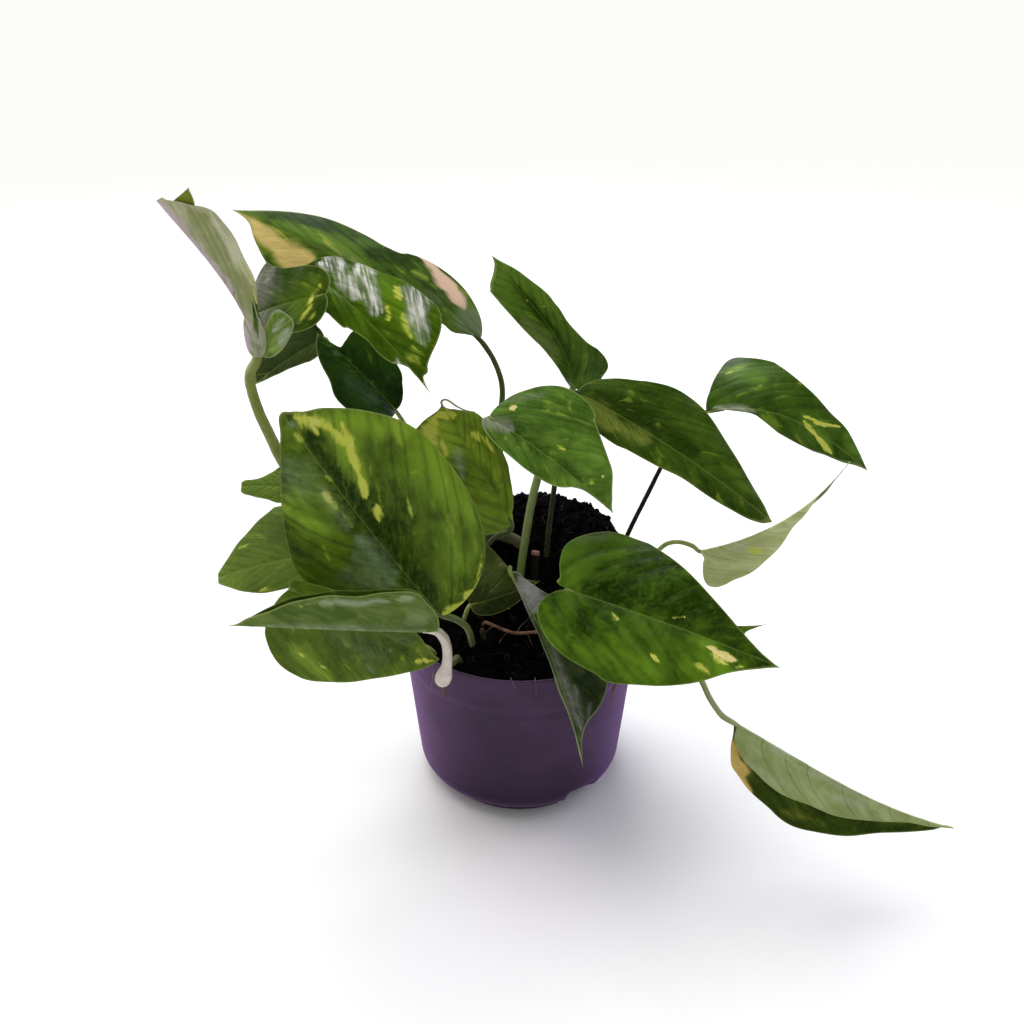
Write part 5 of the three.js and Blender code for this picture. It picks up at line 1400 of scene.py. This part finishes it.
class PothosPeatSettings(bpy.types.PropertyGroup):
    crumbs: IntProperty(
        name="Crumbs", description="How many loose crumbs lie on the heap",
        default=1500, min=0, max=4000)
    fibres: IntProperty(
        name="Fibres", description="How many thin fibres stick out of the heap",
        default=150, min=0, max=600)


class PothosPotSettings(bpy.types.PropertyGroup):
    dark: FloatVectorProperty(
        name="Dark tone", description="Darker colour of the plastic, 0 to 255 a channel",
        default=(62, 45, 67), size=3, min=0, max=255)
    light: FloatVectorProperty(
        name="Light tone", description="Lighter colour of the plastic, 0 to 255 a channel",
        default=(72, 51, 78), size=3, min=0, max=255)


class PothosStageSettings(bpy.types.PropertyGroup):
    sky: FloatProperty(
        name="Surrounding light", description="Strength of the light from all round",
        default=0.42, min=0, max=5)
    sun: FloatProperty(
        name="Soft sun", description="Strength of the wide light from above and behind",
        default=2.1, min=0, max=20)
    top: FloatProperty(
        name="Overhead box", description="Power of the soft box above, in watts",
        default=5.0, min=0, max=200)
    rim: FloatProperty(
        name="Rim boxes", description="Power of the soft boxes behind at each side, in watts",
        default=3.6, min=0, max=200)


# --------------------------------------------------------------------------- operators

class POTHOS_OT_blades(bpy.types.Operator):
    """Makes the blade of every leaf, and the small flaps"""
    bl_idname = "pothos.blades"
    bl_label = "Leaf blades"

    def execute(self, context):
        settings = context.scene.pothos_leaves
        for number, (name, leaf) in enumerate(LEAVES.items()):
            look = look_of(name)
            length = np.linalg.norm(np.subtract(leaf["tip"], leaf["base"]))
            size = min(1, length / FULL_LEAF)
            self.add(name.replace("leaf", "blade"), name, name, leaf,
                     LARGE_GRID if length > LARGE_LEAF else SMALL_GRID,
                     settings.quilt * look["quilt"] * size, settings.wave * look["wave"] * size, number)
        for number, (name, flap) in enumerate(FLAPS.items(), FIRST_FLAP_SEED):
            self.add("blade_" + name, name, FLAP_LEAF, flap, FLAP_GRID, FLAP_RELIEF, FLAP_RELIEF, number)
        return {"FINISHED"}

    def add(self, piece, name, node, leaf, grid, quilt, wave, seed):
        """One blade with its strokes and its finish."""
        look = look_of(name)
        shape = blade_shape(leaf, TRIMS.get(name, ((), ())), grid, quilt, wave, look["rise"],
                            look["veins_a_side"], seed)
        shape.update(marks_of(name, shape["leaf_map"]))
        finish_piece(skin(piece, shape, CREASE_DEGREES), leaf_material(name, look, seed), node)


class POTHOS_OT_stalks(bpy.types.Operator):
    """Makes the stalk of every leaf, and the side branch of the thick one"""
    bl_idname = "pothos.stalks"
    bl_label = "Leaf stalks"

    def execute(self, context):
        for number, (name, leaf) in enumerate(LEAVES.items()):
            look = look_of(name)
            shape = tube_shape(stalk_route(leaf), stalk_radius(leaf["thick"], leaf["bulb"]), number,
                               **TUBES["stalk"])
            piece = name.replace("leaf", "stalk")
            finish_piece(skin(piece, shape), stalk_material(piece, *look["stalk"], number), name)
            if "branch" in leaf:
                size = min(leaf["thick"], RIB_LIMIT) * BRANCH_SHARE
                shape = tube_shape(leaf["branch"], lambda run, whole: size * np.ones_like(run),
                                   BRANCH_SEED, **TUBES["branch"])
                material = stalk_material("side branch", *look["branch"], BRANCH_SEED)
                finish_piece(skin(name.replace("leaf", "branch"), shape), material, name)
        return {"FINISHED"}


class POTHOS_OT_stems(bpy.types.Operator):
    """Makes the short stems, the roots that stand in the peat, and the thin threads"""
    bl_idname = "pothos.stems"
    bl_label = "Stems and roots"

    def execute(self, context):
        looks = {kind: woody_material(*wood) for kind, wood in WOODS.items()}
        for number, (name, stem) in enumerate(STEMS.items()):
            half = stem["thick"] / 2
            shape = tube_shape(stem["route"], lambda run, whole: half * (
                1 - 0.5 * smooth(whole - half, whole, run)), number, **TUBES["stem"])
            slot = "root" if stem["look"] == "root" else "stalk"
            finish_piece(skin(name + "_fine", shape), looks[stem["look"]], name)
        for number, (name, (owner, slot, (thick, thin), route)) in enumerate(THREADS.items()):
            shape = tube_shape(route, lambda run, whole: thick + (thin - thick) * run / whole, number,
                               **TUBES["thread"])
            kind = {"leaf": "whip", "cut_end": "cut"}.get(slot, "hair" if name.startswith("hair") else "root")
            finish_piece(skin(name, shape), looks[kind], owner)
        return {"FINISHED"}


class POTHOS_OT_peat(bpy.types.Operator):
    """Makes the heap of peat, the loose crumbs on it and its fibres"""
    bl_idname = "pothos.peat"
    bl_label = "Peat"

    def execute(self, context):
        settings = context.scene.pothos_peat
        material = peat_material("peat", PEAT_DEEP, PEAT_DUSTY)
        share = np.sin(np.linspace(0.01, 1, PEAT_RINGS) * math.pi / 2)[:, None]
        angle = np.linspace(0, TURN, PEAT_SIDES, endpoint=False)[None, :]
        radius = share * (PEAT_RADIUS - CLEARANCE)
        x, y = radius * np.cos(angle), radius * np.sin(angle)
        top = np.stack([x, y, rough_peat(x, y)], axis=-1)
        sides = [(pot_wall(CORNER_HEIGHT) - WALL - PEAT_GAP, CORNER_HEIGHT),
                 (FOOT_RADIUS - WALL - PEAT_GAP, POT_FLOOR + CLEARANCE + PEAT_GAP)]
        wall = [circle(angle[0], r, z) for r, z in sides]
        heap = skin("peat_heap", {"rings": np.concatenate([top, wall])[::-1]}, PEAT_CREASE_DEGREES)
        finish_piece(heap, material, "peat")
        self.crumbs(settings.crumbs, material)
        self.fibres(settings.fibres)
        return {"FINISHED"}

    def crumbs(self, count, material):
        """Lumpy twenty-sided crumbs in one mesh: each is turned, stretched and roughened by
        seeded numbers, and sunk about a third of its height into the heap."""
        chance = np.random.default_rng(CRUMB_SEED)
        radius = (PEAT_RADIUS - CRUMB_MARGIN) * np.sqrt(chance.uniform(0, 1, count))
        angle = chance.uniform(0, TURN, count)
        x, y = radius * np.cos(angle), radius * np.sin(angle)
        least, span, rarity = CRUMB_SIZES
        size = least + span * chance.uniform(0, 1, count)**rarity
        centre = np.stack([x, y, rough_peat(x, y) + CRUMB_LIFT * size], axis=-1)
        gold = (1 + math.sqrt(5)) / 2
        corners = unit(np.array([(-1, gold, 0), (1, gold, 0), (-1, -gold, 0), (1, -gold, 0),
                                 (0, -1, gold), (0, 1, gold), (0, -1, -gold), (0, 1, -gold),
                                 (gold, 0, -1), (gold, 0, 1), (-gold, 0, -1), (-gold, 0, 1)], float))
        faces = np.array([(0, 11, 5), (0, 5, 1), (0, 1, 7), (0, 7, 10), (0, 10, 11), (1, 5, 9),
                          (5, 11, 4), (11, 10, 2), (10, 7, 6), (7, 1, 8), (3, 9, 4), (3, 4, 2),
                          (3, 2, 6), (3, 6, 8), (3, 8, 9), (4, 9, 5), (2, 4, 11), (6, 2, 10),
                          (8, 6, 7), (9, 8, 1)])
        turns = np.linalg.qr(chance.normal(size=(count, 3, 3)))[0]
        turns[np.linalg.det(turns) < 0] *= -1
        rough = chance.uniform(*CRUMB_CORNERS, (count, 12, 1))
        stretch = chance.uniform(*CRUMB_STRETCH, (count, 1, 3))
        points = np.einsum("nij,nkj->nki", turns, corners[None] * rough * stretch)
        points = centre[:, None] + points * size[:, None, None]
        triangles = faces[None] + 12 * np.arange(count)[:, None, None]
        piece = mesh_object("peat_crumbs", points.reshape(-1, 3), np.zeros((0, 4), int),
                            triangles.reshape(-1, 3))
        finish_piece(piece, material, "peat")

    def fibres(self, count):
        """Thin three-sided fibres in one mesh: each is an arc that leaves the heap and comes
        back to it, in a seeded direction."""
        chance = np.random.default_rng(FIBRE_SEED)
        radius = (PEAT_RADIUS - FIBRE_MARGIN) * np.sqrt(chance.uniform(0, 1, count))
        angle = chance.uniform(0, TURN, count)
        x, y = radius * np.cos(angle), radius * np.sin(angle)
        way = chance.uniform(0, TURN, count)
        long = chance.uniform(*FIBRE_LENGTHS, count)
        t = np.linspace(0, 1, FIBRE_POINTS)[None, :]
        bend = chance.uniform(-1, 1, count)[:, None] * np.sin(math.pi * t) * FIBRE_BEND
        cos, sin = np.cos(way)[:, None], np.sin(way)[:, None]
        px = x[:, None] + long[:, None] * (t * cos - bend * sin)
        py = y[:, None] + long[:, None] * (t * sin + bend * cos)
        keep = np.minimum(1, (PEAT_RADIUS - CRUMB_MARGIN) / np.hypot(px, py))
        px, py = px * keep, py * keep
        lift = chance.uniform(*FIBRE_LIFTS, count)[:, None] * np.sin(math.pi * t)
        path = np.stack([px, py, rough_peat(px, py) + lift], axis=-1)
        slope = unit(np.gradient(path, axis=1))
        first = unit(np.cross(slope, FIBRE_ASIDE))
        second = np.cross(slope, first)
        ring = np.linspace(0, TURN, 3, endpoint=False)
        size = chance.uniform(*FIBRE_RADII, count)[:, None, None, None]
        points = path[:, :, None] + size * (np.cos(ring)[None, None, :, None] * first[:, :, None]
                                            + np.sin(ring)[None, None, :, None] * second[:, :, None])
        index = np.arange(count * FIBRE_POINTS * 3).reshape(count, FIBRE_POINTS, 3)
        after = np.roll(index, -1, axis=2)
        quads = np.stack([index[:, :-1], after[:, :-1], after[:, 1:], index[:, 1:]], axis=-1)
        ends = np.concatenate([index[:, 0, ::-1], index[:, -1]])
        piece = mesh_object("peat_fibres", points.reshape(-1, 3), quads.reshape(-1, 4), ends)
        finish_piece(piece, woody_material(*FIBRE_WOOD), "peat")


class POTHOS_OT_pot(bpy.types.Operator):
    """Makes the pot with its lip, band line, rounded corner and notched foot ring"""
    bl_idname = "pothos.pot"
    bl_label = "Pot"

    def execute(self, context):
        look = context.scene.pothos_pot
        low = FOOT_RADIUS + FOOT_STEP
        turn = np.linspace(0, math.pi / 2, 14)
        corner = np.stack([low + (CORNER_RADIUS - low) * np.sin(turn),
                           CORNER_HEIGHT - (CORNER_HEIGHT - FOOT_HEIGHT) * np.cos(turn)], axis=-1)
        rise = np.linspace(CORNER_HEIGHT + 2, BAND_HEIGHT - 0.8, 26)
        wall = np.stack([pot_wall(rise) - BAND_STEP * smooth(CORNER_HEIGHT, BAND_HEIGHT, rise), rise],
                        axis=-1)
        upper = np.linspace(BAND_HEIGHT + BAND_STEP + 0.3, POT_HEIGHT - LIP_ROUND, 9)
        band = np.stack([pot_wall(upper), upper], axis=-1)
        bead = np.linspace(0, math.pi, 9)
        middle = RIM_RADIUS - WALL / 2
        lip = np.stack([middle + WALL / 2 * np.cos(bead),
                        POT_HEIGHT - LIP_ROUND + LIP_ROUND * np.sin(bead)], axis=-1)
        inner = np.linspace(POT_HEIGHT - 2, CORNER_HEIGHT, 14)
        inside = np.stack([pot_wall(inner) - WALL, inner], axis=-1)
        notch_in = FOOT_RADIUS - NOTCH_DEPTH / 2
        foot = [(2, 0), (20, 0), (36, 0), (notch_in - 0.2, 0), (notch_in, 0), (notch_in + 0.02, 0.02),
                (FOOT_RADIUS - 0.4, 0), (FOOT_RADIUS - 0.1, 0.1), (FOOT_RADIUS, 0.4),
                (FOOT_RADIUS, NOTCH_HEIGHT), (FOOT_RADIUS, FOOT_HEIGHT - 0.15),
                (FOOT_RADIUS + 0.15, FOOT_HEIGHT)]
        floor = [(FOOT_RADIUS - WALL, POT_FLOOR), (30, POT_FLOOR), (2, POT_FLOOR)]
        profile = np.concatenate([foot, corner, wall, band, lip, inside, floor])
        angle = np.linspace(0, TURN, POT_SIDES, endpoint=False)
        wide = NOTCH_WIDTH / 2 / FOOT_RADIUS
        middles = np.radians(FIRST_NOTCH_DEGREES) + TURN * np.arange(FOOT_NOTCHES) / FOOT_NOTCHES
        steps = np.array([-wide - NOTCH_SLOPE, -wide, wide, wide + NOTCH_SLOPE])
        angle = np.sort(np.concatenate([angle, (middles[:, None] + steps).ravel() % TURN]))[None, :]
        radius, height, place = profile[:, :1], profile[:, 1:], np.arange(len(profile))[:, None]
        from_middle = lambda middle: np.abs((angle[..., None] - middle + math.pi) % TURN - math.pi)
        cut = from_middle(middles).min(axis=-1) < wide + 1e-6
        lifted = (radius > notch_in) & (height < NOTCH_HEIGHT) & (place < len(foot))
        turned = from_middle(math.radians(DENT_DEGREES))[..., 0] / math.radians(DENT_WIDTH)
        dent = DENT_DEPTH * (1 - smooth(0.5, 1, height / CORNER_HEIGHT)) * smooth(
            FOOT_RADIUS - DENT_REACH, FOOT_RADIUS, radius)
        outside = place < len(foot) + len(corner)
        radius = radius - outside * dent * (1 - smooth(0.8, 1.25, turned))
        height = np.where(lifted & cut, NOTCH_HEIGHT, height)
        shell = skin("pot_shell", {"rings": circle(angle, radius, height)}, POT_CREASE_DEGREES)
        finish_piece(shell, pot_material("pot", look), "pot")
        return {"FINISHED"}


class POTHOS_OT_stage(bpy.types.Operator):
    """Makes the pale floor, the lights and the camera"""
    bl_idname = "pothos.stage"
    bl_label = "Stage"

    def execute(self, context):
        settings = context.scene.pothos_stage
        scene = context.scene
        corners = np.array([(-1, -1), (1, -1), (1, 1), (-1, 1)]) * FLOOR_REACH
        points = np.column_stack([corners, np.full(4, FLOOR_HEIGHT)])
        floor = mesh_object("floor", points, np.array([[0, 1, 2, 3]]), np.zeros((0, 3), int))
        floor.data.materials.append(stage_material("floor paper", FLOOR_TONE))
        floor.visible_glossy = False
        world = bpy.data.worlds.new("Soft light")
        world.use_nodes = True
        back = world.node_tree.nodes["Background"]
        back.inputs["Color"].default_value = (1, 1, 1, 1)
        back.inputs["Strength"].default_value = settings.sky
        world.cycles_visibility.glossy = False
        scene.world = world
        sun = bpy.data.lights.new("soft sun", "SUN")
        sun.energy, sun.angle, sun.color = settings.sun, math.radians(SUN_DEGREES), SUN_COLOUR
        lamp = bpy.data.objects.new("soft sun", sun)
        lamp.visible_glossy = False
        aim(lamp, SUN_AIM)
        scene.collection.objects.link(lamp)
        for name, (place, setting, share, colour) in BOXES.items():
            light = bpy.data.lights.new(name, "AREA")
            light.shape, light.size, light.color = "SQUARE", BOX_SIZE, colour
            light.energy = share * getattr(settings, setting)
            lamp = bpy.data.objects.new(name, light)
            lamp.location = place
            aim(lamp, np.subtract(BOX_AIM, place))
            scene.collection.objects.link(lamp)
        camera = bpy.data.cameras.new("camera")
        camera.sensor_width = SENSOR
        camera.lens = SENSOR * FOCAL_PIXELS / PICTURE
        camera.clip_start, camera.clip_end = 0.01, 50
        seer = bpy.data.objects.new("camera", camera)
        seer.location = CAMERA_PLACE
        seer.rotation_euler = (math.pi / 2 - CAMERA_PITCH, 0, 0)
        scene.collection.objects.link(seer)
        scene.camera = seer
        scene.view_settings.view_transform = "Standard"
        return {"FINISHED"}


def aim(obj, direction):
    """Turns an object so that its own -Z looks along the direction."""
    x, y, z = (float(c) for c in direction)
    flat = math.hypot(x, y)
    obj.rotation_euler = (math.atan2(flat, -z), 0, math.atan2(y, x) - math.pi / 2)


class POTHOS_PT_panel(bpy.types.Panel):
    """Lists the pieces of the plant"""
    bl_label = "Potted pothos"
    bl_idname = "POTHOS_PT_panel"
    bl_space_type = "VIEW_3D"
    bl_region_type = "UI"
    bl_category = "Pothos"

    def draw(self, context):
        layout = self.layout
        for operator in OPERATORS:
            layout.operator(operator.bl_idname)
        for group in SETTINGS:
            settings = getattr(context.scene, group)
            for name in settings.bl_rna.properties.keys():
                if name not in ("rna_type", "name"):
                    layout.prop(settings, name)


OPERATORS = (POTHOS_OT_stage, POTHOS_OT_pot, POTHOS_OT_peat, POTHOS_OT_stems, POTHOS_OT_stalks,
             POTHOS_OT_blades)
SETTINGS = {
    "pothos_leaves": PothosLeafSettings,
    "pothos_peat": PothosPeatSettings,
    "pothos_pot": PothosPotSettings,
    "pothos_stage": PothosStageSettings,
}


def register():
    for group, kind in SETTINGS.items():
        bpy.utils.register_class(kind)
        setattr(bpy.types.Scene, group, PointerProperty(type=kind))
    for kind in (*OPERATORS, POTHOS_PT_panel):
        bpy.utils.register_class(kind)


def unregister():
    for kind in (POTHOS_PT_panel, *reversed(OPERATORS)):
        bpy.utils.unregister_class(kind)
    for group, kind in SETTINGS.items():
        delattr(bpy.types.Scene, group)
        bpy.utils.unregister_class(kind)


def main():
    """Makes every piece in order."""
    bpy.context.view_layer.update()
    register()
    bpy.ops.pothos.stage()
    bpy.ops.pothos.pot()
    bpy.ops.pothos.peat()
    bpy.ops.pothos.stems()
    bpy.ops.pothos.stalks()
    bpy.ops.pothos.blades()
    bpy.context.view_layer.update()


if __name__ == "__main__":
    main()
